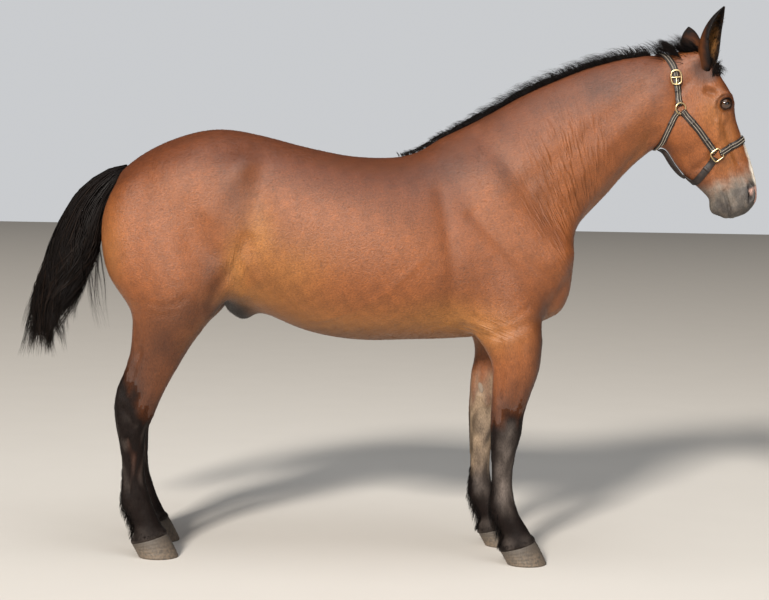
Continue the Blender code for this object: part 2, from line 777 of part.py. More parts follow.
# Brass of the halter: place seen from the side, the way it is turned, half sizes, squareness.
BRASS = {
    "ring": ((1.110, 1.752), (1.0, 0.0), 0.0215, 0.0215, 1.0),
    "square": ((1.261, 1.578), (0.87, 0.50), 0.0205, 0.0205, 0.40),
    "buckle": ((1.096, 1.868), (0.10, -1.0), 0.027, 0.0195, 0.75),
}
WIRE = 0.0030


def lowest(mesh, tree):
    """The least height of the mesh above the surface of the tree."""
    heights = []
    for vertex in mesh.vertices:
        spot, normal, _, _ = tree.find_nearest(vertex.co)
        heights.append((vertex.co - spot).dot(normal))
    return min(heights)


def add_brass(pieces, skin, collection):
    """Rings and buckles half sunk in the straps on both sides."""
    tree = BVHTree.FromObject(skin, bpy.context.evaluated_depsgraph_get())
    beds = []
    for kind, (place, turned, long, wide, squareness) in BRASS.items():
        for side, sign in (("right", -1), ("left", 1)):
            start = Vector((place[0], sign * 0.4, place[1]))
            spot, normal, _, _ = tree.ray_cast(start, Vector((0, -sign, 0)))
            along = Vector((turned[0], 0, turned[1]))
            along = (along - normal * along.dot(normal)).normalized()
            across = normal.cross(along)
            centre = spot + normal * (STRAP_OVER + 0.0020)
            for _ in range(4):
                mesh = hoop(centre, along, across, long, wide, WIRE, squareness)
                centre = centre + normal * max(0, 2 * CLEARANCE - lowest(mesh, tree))
            mesh = hoop(centre, along, across, long, wide, WIRE, squareness)
            name = f"halter_{kind}_{side}"
            pieces[name] = new_object(name, mesh, collection)
            bed = hoop(centre, along, across, long, wide, WIRE + 2 * GAP, squareness)
            beds.append(new_object("bed", bed, collection))
    keep_largest(boolean(pieces["halter_straps"], beds, "DIFFERENCE"))


# Tail, seen from the side: x, z, half the depth of the hair, half its width.
TAIL = (
    (-1.045, 1.474, 0.034, 0.030),
    (-1.100, 1.432, 0.046, 0.040),
    (-1.155, 1.352, 0.062, 0.050),
    (-1.188, 1.270, 0.078, 0.056),
    (-1.215, 1.180, 0.092, 0.060),
    (-1.264, 1.060, 0.090, 0.064),
    (-1.300, 0.955, 0.092, 0.062),
    (-1.322, 0.852, 0.094, 0.056),
    (-1.330, 0.745, 0.098, 0.046),
)
DOCK_SHARE = 0.40
DOCK_RADIUS = 0.026
TAIL_HALF_WIDTH = 0.026
TAIL_THICK = 0.0065
# Rings of tail locks from the outside in: how many, spread, first root, last root, tips.
TAIL_RINGS = (
    (10, 1.00, -0.02, 0.05, (0.90, 1.00)),
    (6, 0.70, 0.12, 0.22, (0.93, 1.00)),
    (4, 0.40, 0.26, 0.36, (0.90, 1.00)),
)

# Mane along the crest: x, length of the hair.
MANE = ((0.365, 0.16), (0.420, 0.20), (0.500, 0.24), (0.650, 0.28), (0.850, 0.29), (0.975, 0.25))
MANE_LOCKS = 24
MANE_HALF_WIDTH = 0.0265
MANE_THICK = 0.0045
FRINGE = 0.044

# Forelock: how many locks, how long, and how far down the head and out they start.
FORELOCKS = 9
FORELOCK_LENGTH = 0.150
FORELOCK_HALF_WIDTH = 0.013
FORELOCK_THICK = 0.0050

# Hair behind each fetlock: x of the back, out, level, length.
FETLOCKS = {
    "fore_shank_right": (0.418, -0.172, 0.222, 0.105),
    "fore_shank_left": (0.352, 0.172, 0.222, 0.105),
    "hind_shank_right": (-0.998, -0.156, 0.226, 0.105),
    "hind_shank_left": (-1.030, 0.156, 0.226, 0.105),
}
FETLOCK_LOCKS = 5
FETLOCK_HALF_WIDTH = 0.016
FETLOCK_THICK = 0.0045


# A seed for the draws of each growth.
SEEDS = {"tail": 3, "neck": 5, "head": 8, "shank": 9}


def lock(points, faces, half_width, thick, stations, root_share=0.75, tip=0.10):
    """A flat tapered lock of hair along a smooth line, its flat side turned to the faces."""
    rows = spline([(*p, *f) for p, f in zip(points, faces)], stations)
    rings = []
    for i, row in enumerate(rows):
        share = i / (stations - 1)
        swell = root_share + (1 - root_share) * min(1, share / 0.3)
        taper = swell * (tip + (1 - tip) * (1 - share ** 2.2))
        centre, face = Vector(row[:3]), Vector(row[3:6])
        low, high = rows[max(i - 1, 0)][:3], rows[min(i + 1, stations - 1)][:3]
        along = Vector(high - low).normalized()
        across = along.cross(face).normalized()
        out = across.cross(along).normalized()
        wide, deep = across * half_width * taper, out * thick * taper
        rings.append([centre + wide, centre + deep, centre - wide, centre - deep])
    return loft(rings)


def along_line(rows, share):
    """The row at a share of the way down a table."""
    place = max(0.0, min(1.0, share)) * (len(rows) - 1)
    low = min(int(place), len(rows) - 2)
    t = place - low
    return [a + (b - a) * t for a, b in zip(rows[low], rows[low + 1])]


def tail_meshes(random_draw):
    """A short dock and the locks that hang from it, fanned round its line."""
    line = spline([(x, 0, z, deep, wide) for x, z, deep, wide in TAIL], 40)

    def place(share, turn, spread):
        x, _, z, deep, wide = along_line(line, share)
        ahead = along_line(line, share + 0.03)
        behind = along_line(line, share - 0.03)
        along = Vector((ahead[0] - behind[0], 0, ahead[2] - behind[2])).normalized()
        across = Vector((-along.z, 0, along.x))
        push = across * math.cos(turn) * deep * spread + Vector((0, math.sin(turn) * wide * spread, 0))
        return Vector((x, 0, z)) + push, push.normalized()

    rows = []
    for k in range(8):
        share = DOCK_SHARE * k / 7
        x, _, z, _, _ = along_line(line, share)
        radius = DOCK_RADIUS * (1 - 0.55 * k / 7)
        rows.append((x, 0, z, radius, radius, radius))
    meshes = [limb(rows, 12, 10)]
    for number, (count, spread, first, last, tips) in enumerate(TAIL_RINGS):
        for i in range(count):
            turn = 2 * math.pi * (i + 0.5 * (number % 2)) / count
            root = first + (last - first) * random_draw.random()
            tip = random_draw.uniform(*tips)
            if number == 0 and math.cos(turn) < -0.4:
                tip = random_draw.uniform(0.62, 0.80)
            curl = random_draw.uniform(-0.25, 0.25)
            points, faces = [], []
            for k in range(7):
                share = root + (tip - root) * k / 6
                grow = spread * (0.30 + 0.70 * min(1, k / 1.5))
                point, face = place(share, turn + curl * (k / 6) ** 3, grow)
                points.append(point)
                faces.append(face)
            meshes.append(lock(points, faces, TAIL_HALF_WIDTH, TAIL_THICK, 8, 0.38))
    return meshes


def laid(tree, root, sink, steps, lifts):
    """Points of a lock that starts under the skin and then lies a little above it."""
    spot, normal, _, _ = tree.find_nearest(root)
    points, faces = [spot - normal * sink], [normal]
    place = spot
    for step, lift in zip(steps, lifts):
        spot, normal, _, _ = tree.find_nearest(place + step)
        place = spot
        points.append(spot + normal * lift)
        faces.append(normal)
    return points, faces


def crest(tree, x):
    """The highest point of the skin at x."""
    spot, _, _, _ = tree.ray_cast(Vector((x, 0.0, 3.0)), Vector((0, 0, -1)))
    return spot


def mane_meshes(tree, random_draw):
    """Two layers of locks that stand up from the crest and fall over to the left side."""
    meshes = []
    side = Vector((0, 1, 0))
    for i in range(MANE_LOCKS):
        layer = i % 2
        share = i / (MANE_LOCKS - 1)
        x = MANE[0][0] + (MANE[-1][0] - MANE[0][0]) * share
        length = np.interp(x, [row[0] for row in MANE], [row[1] for row in MANE])
        length *= random_draw.uniform(0.86, 1.0)
        top = crest(tree, x)
        ahead = (crest(tree, x + 0.02) - top).normalized()
        up = Vector((-ahead.z, 0, ahead.x))
        rise = FRINGE * random_draw.uniform(0.8, 1.1) * min(1, 0.45 + length / 0.4)
        over = 0.016 * (1 - layer)
        points = [top - up * 0.022 + side * over, top + up * rise * (0.66 + 0.14 * layer) + side * over]
        faces = [-side, -side * 0.8 + up * 0.4]
        points.append(top + up * rise * (0.90 + 0.10 * layer) + side * (0.034 + 0.008 * layer))
        faces.append(up + side * 0.5)
        lift = 0.008 + 0.012 * layer
        sweep = -0.10 + 0.10 * math.sin(9 * share) + random_draw.uniform(-0.02, 0.02)
        for k in range(1, 4):
            down = 0.050 + (length - 0.050) * k / 3
            target = top + side * 0.14 - Vector((0, 0, down)) + ahead * sweep * down
            spot, normal, _, _ = tree.find_nearest(target)
            points.append(spot + normal * (lift + 0.005 * (3 - k)))
            faces.append(normal)
        meshes.append(lock(points, faces, MANE_HALF_WIDTH, MANE_THICK, 6, 1.0))
    return meshes


def forelock_meshes(tree, random_draw):
    """Short locks from the poll, forward between the ears and on to the forehead."""
    meshes = []
    for i in range(FORELOCKS):
        out = 2 * ((i * 4) % FORELOCKS) / (FORELOCKS - 1) - 1
        start = head_point(random_draw.uniform(-0.03, 0.035), 0.10, 0.008 * out)
        length = FORELOCK_LENGTH * random_draw.uniform(0.75, 1.0)
        away = Vector((0, 0.008 * out, 0))
        step = (head_point(1, 0) - head_point(0, 0)) * length / 4 + away
        lifts = [0.012 + 0.006 * (i % 3), 0.020 + 0.006 * (i % 3), 0.015 + 0.006 * (i % 3), 0.010]
        points, faces = laid(tree, start, 0.016, [step] * 4, lifts)
        meshes.append(lock(points, faces, FORELOCK_HALF_WIDTH, FORELOCK_THICK, 5))
    return meshes


def fetlock_meshes(tree, name, random_draw):
    """Locks behind a fetlock that hang down and back."""
    x, out, level, length = FETLOCKS[name]
    meshes = []
    for i in range(FETLOCK_LOCKS):
        turn = math.radians(-80 + 160 * i / (FETLOCK_LOCKS - 1))
        back = Vector((-math.cos(turn), math.sin(turn), 0))
        start = Vector((x + 0.05, out, level - 0.012 * (i % 2))) + back * 0.08
        step = Vector((0, 0, -length / 3)) + back * 0.002
        reach = 1 - 0.35 * abs(math.sin(turn))
        lifts = [0.010, 0.018 * reach, 0.020 * reach * random_draw.uniform(0.8, 1.1)]
        points, faces = laid(tree, start, 0.012, [step] * 3, lifts)
        meshes.append(lock(points, faces, FETLOCK_HALF_WIDTH, FETLOCK_THICK, 4, 0.7, 0.14))
    return meshes


def grow_hair(pieces, skin, collection):
    """Fuses the locks with the pieces that they grow from."""
    tree = BVHTree.FromObject(skin, bpy.context.evaluated_depsgraph_get())
    tail = tail_meshes(random.Random(SEEDS["tail"]))
    pieces["tail"] = new_object("tail", tail.pop(0), collection)
    grown_on = {
        "tail": tail,
        "neck": mane_meshes(tree, random.Random(SEEDS["neck"])),
        "head": forelock_meshes(tree, random.Random(SEEDS["head"])),
    }
    for name in FETLOCKS:
        grown_on[name] = fetlock_meshes(tree, name, random.Random(SEEDS["shank"]))
    for name, meshes in grown_on.items():
        locks = [new_object(f"{name}_lock", mesh, collection) for mesh in meshes]
        boolean(pieces[name], locks, "UNION")
        if name == "head":
            clear = [grown(pieces[ear_name], CLEARANCE, "clear", collection) for ear_name in EARS]
            boolean(pieces[name], clear, "DIFFERENCE")
        keep_largest(pieces[name])
    edge = slab((-1.010, 1.600), (-1.085, 1.330), -0.2, 0.2)
    keep_largest(boolean(pieces["tail"], [new_object("edge", edge, collection)], "DIFFERENCE"))


# Materials: base colour, roughness and metallic, for each start of a node name.
COLOURS = {
    "halter_straps": ((0.035, 0.022, 0.016), 0.55, 0.0),
    "halter_jaw": ((0.035, 0.022, 0.016), 0.55, 0.0),
    "halter": ((0.62, 0.44, 0.16), 0.3, 1.0),
    "eye": ((0.010, 0.006, 0.004), 0.08, 0.0),
    "fore_hoof": ((0.070, 0.056, 0.044), 0.7, 0.0),
    "hind_hoof": ((0.070, 0.056, 0.044), 0.7, 0.0),
    "tail": ((0.012, 0.010, 0.009), 0.6, 0.0),
    "ear": ((0.110, 0.045, 0.018), 0.7, 0.0),
    "forearm": ((0.160, 0.055, 0.020), 0.6, 0.0),
    "gaskin": ((0.220, 0.080, 0.028), 0.6, 0.0),
    "fore_shank": ((0.030, 0.018, 0.012), 0.6, 0.0),
    "hind_shank": ((0.030, 0.018, 0.012), 0.6, 0.0),
}
COAT = ((0.270, 0.085, 0.026), 0.5, 0.0)


def finish(pieces, collection):
    """Names the pieces, gives each its material and centres the model on its origin."""
    low, high = Vector((9, 9, 9)), Vector((-9, -9, -9))
    for obj in pieces.values():
        for vertex in obj.data.vertices:
            low = Vector(map(min, low, vertex.co))
            high = Vector(map(max, high, vertex.co))
    shift = Matrix.Translation((-(low.x + high.x) / 2, -(low.y + high.y) / 2, 0))
    print("shift", shift.translation, "size", high - low)
    for name, obj in pieces.items():
        obj.name = obj.data.name = name
        obj.data.transform(shift)
        match = [look for start, look in COLOURS.items() if name.startswith(start)]
        colour, rough, metal = match[0] if match else COAT
        material = bpy.data.materials.new(name)
        material.use_nodes = True
        shader = material.node_tree.nodes["Principled BSDF"]
        shader.inputs["Base Color"].default_value = (*colour, 1)
        shader.inputs["Roughness"].default_value = rough
        shader.inputs["Metallic"].default_value = metal
        obj.data.materials.clear()
        obj.data.materials.append(material)
        obj.data.shade_flat()


def main():
    clear_scene()
    parts = bpy.data.collections.new("heavy_horse")
    bpy.context.scene.collection.children.link(parts)
    body = fused_body(parts)
    skin = new_object("skin", body.data.copy(), parts)
    pieces = parted(body, parts)
    add_hooves(pieces, parts)
    add_eyes(pieces, parts)
    cut_mouth(pieces, parts)
    add_straps(pieces, skin, parts)
    add_jaw_strap(pieces, skin, parts)
    add_brass(pieces, skin, parts)
    add_ears(pieces, skin, parts)
    grow_hair(pieces, skin, parts)
    bpy.data.objects.remove(skin)
    finish(pieces, parts)


main()
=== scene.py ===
"""The finished looks of a bay heavy horse standing in a leather halter.

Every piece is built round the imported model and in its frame: metres, +Z up, +X the way
the horse faces and +Y its left. Places are drawn with the right fore sole's middle at
SOLE_DRAWN, and are moved to the frame as each piece is finished.
"""

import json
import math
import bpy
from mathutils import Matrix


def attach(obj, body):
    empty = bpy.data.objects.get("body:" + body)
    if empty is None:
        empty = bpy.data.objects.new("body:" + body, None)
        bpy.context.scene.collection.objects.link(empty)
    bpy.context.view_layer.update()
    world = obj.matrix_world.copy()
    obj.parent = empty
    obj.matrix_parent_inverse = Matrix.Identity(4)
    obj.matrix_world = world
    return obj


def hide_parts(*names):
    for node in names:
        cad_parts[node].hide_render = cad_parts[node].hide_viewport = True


bl_info = {
    "name": "Heavy Horse",
    "version": (1, 0, 0),
    "blender": (4, 5, 0),
    "location": "3D View > Sidebar > Horse",
    "description": "Builds a bay heavy horse with its coat, mane, tail, hooves and halter",
    "category": "Add Mesh",
}

import bmesh
import bpy
import numpy as np
from bpy.props import FloatProperty, FloatVectorProperty, IntProperty, PointerProperty
from bpy.types import Operator, Panel, PropertyGroup
from mathutils import Matrix, Vector
from mathutils.bvhtree import BVHTree

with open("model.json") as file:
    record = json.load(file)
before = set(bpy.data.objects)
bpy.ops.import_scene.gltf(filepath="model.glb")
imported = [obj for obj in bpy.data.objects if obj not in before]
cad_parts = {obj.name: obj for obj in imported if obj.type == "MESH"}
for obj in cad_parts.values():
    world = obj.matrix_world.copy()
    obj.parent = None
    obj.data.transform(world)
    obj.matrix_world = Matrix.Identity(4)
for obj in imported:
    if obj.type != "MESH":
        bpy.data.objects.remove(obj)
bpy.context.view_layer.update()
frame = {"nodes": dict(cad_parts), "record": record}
MOUNTS = {mount["name"]: mount["pos_m"] for mount in frame["record"]["mounts"]}
SOLE_DRAWN = Vector((0.562, -0.17, 0.0))
ORIGIN = Vector(MOUNTS["fore_sole_right"]) - SOLE_DRAWN

SIDES = {"right": -1, "left": 1}
FLESH = ("head", "neck", "forehand", "barrel", "hindquarters") + tuple(
    f"{piece}_{side}"
    for piece in ("forearm", "fore_shank", "gaskin", "hind_shank")
    for side in SIDES
)

# Trunk, in upright rings from the tail to the breast: x, top, bottom, level of the widest
# place, half width, and how full the top of the ring is.
TRUNK = (
    (-1.045, 1.47, 1.18, 1.36, 0.12, 2.0),
    (-0.96, 1.537, 1.08, 1.35, 0.225, 2.1),
    (-0.8, 1.617, 1.02, 1.34, 0.29, 2.2),
    (-0.655, 1.65, 0.99, 1.32, 0.3, 2.3),
    (-0.5, 1.63, 0.945, 1.25, 0.3, 2.3),
    (-0.3, 1.582, 0.866, 1.2, 0.33, 2.3),
    (-0.09, 1.549, 0.834, 1.17, 0.345, 2.2),
    (0.1, 1.566, 0.84, 1.17, 0.33, 1.9),
    (0.26, 1.655, 0.846, 1.17, 0.295, 1.55),
    (0.4, 1.65, 0.86, 1.16, 0.27, 1.7),
    (0.55, 1.56, 0.895, 1.15, 0.245, 2.0),
    (0.66, 1.44, 0.95, 1.16, 0.215, 2.0),
    (0.725, 1.34, 1.06, 1.19, 0.14, 2.0),
)
# Neck: x, z, up to the crest, down to the throat, half width, fullness of the crest.
NECK = (
    (0.36, 1.36, 0.32, 0.3, 0.235, 1.7),
    (0.52, 1.48, 0.285, 0.29, 0.205, 1.6),
    (0.68, 1.6, 0.262, 0.262, 0.165, 1.5),
    (0.83, 1.705, 0.225, 0.222, 0.135, 1.5),
    (0.96, 1.772, 0.192, 0.196, 0.122, 1.6),
    (1.09, 1.81, 0.165, 0.16, 0.112, 1.8),
)
# Head: distance down the head, up to the face, down to the jaw, half width, fullness
# towards the face and towards the jaw.
HEAD_ROOT = Vector((1.12, 0.0, 1.93))
HEAD_PITCH = math.radians(66.4)
HEAD = (
    (-0.045, 0.02, 0.06, 0.06, 2.0, 2.0),
    (0.0, 0.07, 0.11, 0.085, 2.2, 2.0),
    (0.07, 0.112, 0.13, 0.094, 2.4, 2.0),
    (0.15, 0.136, 0.15, 0.102, 2.8, 2.0),
    (0.21, 0.14, 0.165, 0.106, 2.8, 2.0),
    (0.28, 0.123, 0.176, 0.098, 2.3, 2.0),
    (0.35, 0.121, 0.166, 0.084, 2.0, 2.1),
    (0.42, 0.121, 0.142, 0.071, 1.9, 2.2),
    (0.48, 0.117, 0.112, 0.062, 1.9, 2.3),
    (0.535, 0.108, 0.088, 0.06, 2.1, 2.3),
    (0.585, 0.092, 0.07, 0.062, 2.3, 2.3),
    (0.62, 0.066, 0.048, 0.054, 2.2, 2.2),
    (0.64, 0.03, 0.02, 0.03, 2.0, 2.0),
)
# Forms of the head on both sides: place down, up and out, then radii down, up and out.
HEAD_FORMS = (
    ((0.225, -0.06, 0.05), (0.12, 0.12, 0.056)),
    ((0.33, 0.015, 0.052), (0.12, 0.03, 0.026)),
    ((0.19, 0.086, 0.062), (0.05, 0.04, 0.038)),
    ((0.211, 0.088, 0.076), (0.036, 0.029, 0.0305)),
    ((0.12, 0.08, 0.048), (0.085, 0.045, 0.045)),
    ((0.572, 0.04, 0.036), (0.05, 0.048, 0.036)),
    ((0.592, 0.002, 0.022), (0.044, 0.04, 0.04)),
    ((0.572, -0.066, 0.01), (0.04, 0.04, 0.034)),
    ((0.6, -0.04, 0.014), (0.036, 0.034, 0.036)),
    ((0.02, 0.05, 0.055), (0.045, 0.045, 0.035)),
)
# Legs: x, out from the middle, z, forward, back, half width.
FORE_LEG = (
    (0.47, 0.165, 1.02, 0.13, 0.15, 0.085),
    (0.478, 0.178, 0.94, 0.128, 0.16, 0.088),
    (0.495, 0.184, 0.86, 0.118, 0.13, 0.084),
    (0.503, 0.186, 0.78, 0.104, 0.1, 0.076),
    (0.492, 0.184, 0.68, 0.082, 0.084, 0.062),
    (0.478, 0.181, 0.58, 0.064, 0.07, 0.053),
    (0.471, 0.179, 0.505, 0.062, 0.062, 0.057),
    (0.466, 0.177, 0.445, 0.052, 0.054, 0.05),
    (0.463, 0.175, 0.37, 0.044, 0.047, 0.036),
    (0.463, 0.173, 0.28, 0.045, 0.047, 0.037),
    (0.468, 0.172, 0.215, 0.053, 0.056, 0.047),
    (0.49, 0.171, 0.165, 0.05, 0.052, 0.046),
    (0.518, 0.17, 0.122, 0.05, 0.054, 0.049),
    (0.525, 0.17, 0.092, 0.062, 0.07, 0.061),
    (0.528, 0.17, 0.065, 0.062, 0.072, 0.064),
    (0.53, 0.17, 0.04, 0.06, 0.07, 0.062),
)
HIND_LEG = (
    (-0.78, 0.12, 1.42, 0.18, 0.22, 0.13),
    (-0.82, 0.15, 1.29, 0.22, 0.262, 0.15),
    (-0.83, 0.168, 1.17, 0.215, 0.25, 0.152),
    (-0.82, 0.18, 1.06, 0.216, 0.214, 0.143),
    (-0.817, 0.183, 1.0, 0.19, 0.178, 0.132),
    (-0.818, 0.184, 0.94, 0.16, 0.152, 0.116),
    (-0.838, 0.182, 0.87, 0.128, 0.13, 0.096),
    (-0.868, 0.177, 0.78, 0.106, 0.106, 0.076),
    (-0.905, 0.172, 0.69, 0.092, 0.092, 0.062),
    (-0.937, 0.168, 0.61, 0.086, 0.09, 0.057),
    (-0.954, 0.165, 0.54, 0.078, 0.074, 0.056),
    (-0.956, 0.163, 0.47, 0.056, 0.058, 0.048),
    (-0.95, 0.16, 0.38, 0.047, 0.05, 0.038),
    (-0.948, 0.158, 0.29, 0.048, 0.051, 0.039),
    (-0.94, 0.156, 0.22, 0.058, 0.06, 0.05),
    (-0.915, 0.155, 0.165, 0.052, 0.055, 0.047),
    (-0.893, 0.155, 0.122, 0.05, 0.054, 0.049),
    (-0.888, 0.155, 0.092, 0.062, 0.068, 0.06),
    (-0.886, 0.155, 0.065, 0.062, 0.07, 0.062),
    (-0.885, 0.155, 0.04, 0.06, 0.068, 0.06),
)
# How far the left legs stand behind the right ones, and how soon down the leg.
FORE_STAGGER = (-0.066, 2.8)
HIND_STAGGER = (-0.032, 1.35)
# Muscles and bones that stand out, on both sides: centre, radii, pitch in degrees.
MUSCLES = (
    ((0.44, 0.138, 1.32), (0.11, 0.108, 0.28), -32),
    ((0.63, 0.15, 1.19), (0.1, 0.09, 0.11), 0),
    ((0.64, 0.08, 1.08), (0.085, 0.085, 0.15), 0),
    ((0.44, 0.18, 1.06), (0.17, 0.09, 0.15), 20),
    ((0.39, 0.18, 0.96), (0.09, 0.072, 0.075), 0),
    ((-0.66, 0.185, 1.09), (0.11, 0.105, 0.15), 20),
    ((-0.7, 0.19, 0.99), (0.085, 0.085, 0.1), 0),
    ((-0.56, 0.205, 1.44), (0.12, 0.088, 0.12), 0),
    ((-0.92, 0.14, 1.27), (0.16, 0.115, 0.22), 12),
    ((0.6, 0.095, 1.43), (0.11, 0.085, 0.2), -45),
    ((-0.565, 0.0, 0.95), (0.075, 0.05, 0.052), 30),
)

# Relief of the skin seen from the side, on both sides: height (less than zero is a groove),
# half width, and the (x, z) places it runs through.
RELIEF = (
    (-0.007, 0.04, ((0.35, 1.64), (0.48, 1.5), (0.6, 1.35), (0.665, 1.24))),
    (0.003, 0.05, ((0.37, 1.56), (0.47, 1.4), (0.56, 1.24))),
    (-0.007, 0.03, ((0.205, 1.42), (0.235, 1.26), (0.26, 1.11), (0.25, 0.96))),
    (-0.0075, 0.026, ((0.33, 1.34), (0.44, 1.22), (0.56, 1.13), (0.64, 1.1))),
    (-0.008, 0.018, ((0.3, 0.905), (0.38, 0.88), (0.47, 0.9), (0.56, 0.94))),
    (-0.005, 0.01, ((0.33, 0.95), (0.41, 0.925), (0.48, 0.94), (0.54, 0.985))),
    (-0.006, 0.02, ((0.69, 1.08), (0.64, 1.0), (0.585, 0.93))),
    (-0.008, 0.026, ((1.01, 1.64), (0.9, 1.48), (0.8, 1.35), (0.73, 1.23))),
    (-0.005, 0.034, ((0.98, 1.83), (0.82, 1.7), (0.66, 1.56), (0.54, 1.47))),
    (0.0045, 0.03, ((0.94, 1.7), (0.8, 1.56), (0.69, 1.42))),
    (-0.012, 0.055, ((-0.47, 1.46), (-0.475, 1.32), (-0.51, 1.2))),
    (-0.011, 0.024, ((-0.52, 1.23), (-0.56, 1.13), (-0.625, 1.04), (-0.645, 0.97))),
    (0.007, 0.026, ((-0.48, 1.08), (-0.54, 1.01), (-0.6, 0.96))),
    (-0.004, 0.045, ((-0.9, 1.46), (-0.935, 1.3), (-0.92, 1.15), (-0.89, 1.03))),
    (-0.005, 0.04, ((-0.68, 1.54), (-0.73, 1.36), (-0.72, 1.2))),
    (0.0055, 0.04, ((-0.52, 1.53), (-0.59, 1.45), (-0.65, 1.33))),
    (-0.0055, 0.022, ((-0.93, 0.96), (-0.935, 0.87), (-0.93, 0.79))),
    (-0.0035, 0.007, ((-0.9, 0.99), (-0.84, 0.975), (-0.78, 0.985), (-0.74, 1.01))),
    (-0.003, 0.006, ((-0.89, 0.955), (-0.83, 0.94), (-0.77, 0.95))),
    (-0.0028, 0.006, ((-0.7, 1.0), (-0.69, 0.95), (-0.72, 0.89))),
    (0.003, 0.007, ((0.15, 1.18), (0.02, 1.05), (-0.12, 0.96), (-0.26, 0.92))),
)
# Relief that is drawn on one leg and repeated on the others: height, half width, places
# for the fore leg or the hind leg.
FORE_RELIEF = (
    (-0.006, 0.013, ((0.43, 0.9), (0.445, 0.76), (0.44, 0.64))),
    (-0.005, 0.012, ((0.52, 0.86), (0.53, 0.74), (0.5, 0.62))),
    (-0.0065, 0.008, ((0.447, 0.45), (0.446, 0.38), (0.446, 0.3), (0.45, 0.25))),
    (0.004, 0.012, ((0.515, 0.54), (0.518, 0.5), (0.51, 0.46))),
    (0.0035, 0.012, ((0.43, 0.52), (0.425, 0.5))),
    (0.0025, 0.004, ((0.54, 0.8), (0.534, 0.7), (0.529, 0.6), (0.51, 0.54))),
    (0.0022, 0.0035, ((0.47, 0.42), (0.468, 0.34), (0.47, 0.25))),
    (0.0045, 0.015, ((0.44, 0.222), (0.432, 0.2))),
    (-0.0045, 0.01, ((0.48, 0.215), (0.492, 0.18))),
)
HIND_RELIEF = (
    (-0.01, 0.016, ((-0.925, 0.8), (-0.955, 0.7), (-0.985, 0.64))),
    (0.005, 0.014, ((-0.985, 0.76), (-1.005, 0.68), (-1.022, 0.6))),
    (-0.005, 0.012, ((-0.985, 0.575), (-0.96, 0.54), (-0.95, 0.5))),
    (0.005, 0.016, ((-0.925, 0.56), (-0.93, 0.52))),
    (-0.0065, 0.008, ((-0.968, 0.46), (-0.966, 0.38), (-0.965, 0.3), (-0.96, 0.255))),
    (0.0026, 0.004, ((-0.747, 0.843), (-0.8, 0.78), (-0.868, 0.69), (-0.89, 0.61))),
    (0.0022, 0.004, ((-0.741, 0.832), (-0.785, 0.741), (-0.824, 0.679), (-0.86, 0.6))),
    (0.0022, 0.0035, ((-0.945, 0.44), (-0.944, 0.34), (-0.946, 0.25))),
    (0.0045, 0.015, ((-0.978, 0.228), (-0.982, 0.205))),
    (-0.0045, 0.01, ((-0.925, 0.225), (-0.912, 0.185))),
)
# Pairs of legs: the way along x to them, rows, stagger and relief.
LEG_PAIRS = ((1, FORE_LEG, FORE_STAGGER, FORE_RELIEF), (-1, HIND_LEG, HIND_STAGGER, HIND_RELIEF))
# Relief of the head in its own directions, on both sides: height, half width, places down
# and up.
HEAD_RELIEF = (
    (0.0078, 0.01, ((0.262, 0.036), (0.33, 0.012), (0.4, -0.004))),
    (-0.007, 0.014, ((0.29, 0.062), (0.36, 0.055), (0.44, 0.06))),
    (-0.0085, 0.016, ((0.405, -0.115), (0.392, -0.045), (0.35, -0.004))),
    (0.0022, 0.0045, ((0.3, 0.04), (0.36, 0.02), (0.4, -0.04), (0.395, -0.09))),
    (0.002, 0.0045, ((0.35, 0.03), (0.43, 0.04), (0.5, 0.02))),
    (-0.013, 0.013, ((0.14, 0.044), (0.156, 0.062))),
    (0.0045, 0.009, ((0.128, 0.066), (0.15, 0.08), (0.172, 0.082))),
    (0.0075, 0.012, ((0.158, 0.096), (0.19, 0.126), (0.225, 0.126))),
    (-0.0022, 0.005, ((0.238, 0.068), (0.258, 0.056), (0.275, 0.036))),
    (-0.0016, 0.006, ((0.25, 0.092), (0.28, 0.078), (0.3, 0.056))),
    (-0.0036, 0.01, ((0.08, -0.01), (0.11, -0.06), (0.15, -0.09))),
    (-0.003, 0.006, ((0.545, 0.02), (0.575, -0.014), (0.585, -0.04))),
    (0.0035, 0.012, ((0.6, 0.02), (0.61, -0.02))),
)
MOUTH = ((1.298, 1.44), (1.316, 1.39), (1.327, 1.345), (1.337, 1.3))
NOSTRIL = (1.401, 1.432)

# Eyes in the head's own directions, and the ball's radius.
EYE_PLACE = (0.211, 0.088, 0.078)
EYE_RADIUS = 0.0245
EYE_HALF_LENGTH = 0.022
EYE_HALF_HEIGHT = 0.0185

# Ears: base, tip, the way the cup faces, and the widest radius.
EARS = {
    "ear_right": ((1.212, -0.058, 1.905), (1.27, -0.1, 2.139), (0.72, -0.69, 0.0), 0.043),
    "ear_left": ((1.19, 0.056, 1.91), (1.18, 0.16, 2.08), (0.35, 0.8, -0.45), 0.043),
}
# Share of an ear's length, share of its radius, half angle of the cup, wall.
EAR_ROWS = (
    (-0.26, 0.3, 160, 0.008),
    (-0.14, 0.46, 160, 0.008),
    (-0.02, 0.64, 160, 0.008),
    (0.08, 0.78, 156, 0.007),
    (0.2, 0.92, 140, 0.006),
    (0.36, 1.0, 118, 0.0055),
    (0.52, 0.98, 104, 0.005),
    (0.68, 0.84, 96, 0.0045),
    (0.85, 0.54, 92, 0.0038),
    (1.0, 0.1, 88, 0.0024),
)

# Hooves: middle of the sole, out, half length, half width, height at the toe and heel.
HOOVES = {
    "fore_hoof_right": (0.562, -0.17, 0.079, 0.074, 0.106, 0.056),
    "fore_hoof_left": (0.496, 0.17, 0.079, 0.074, 0.106, 0.056),
    "hind_hoof_right": (-0.852, -0.155, 0.078, 0.07, 0.106, 0.058),
    "hind_hoof_left": (-0.884, 0.155, 0.078, 0.07, 0.106, 0.058),
}
TOE_SLOPE = 0.46
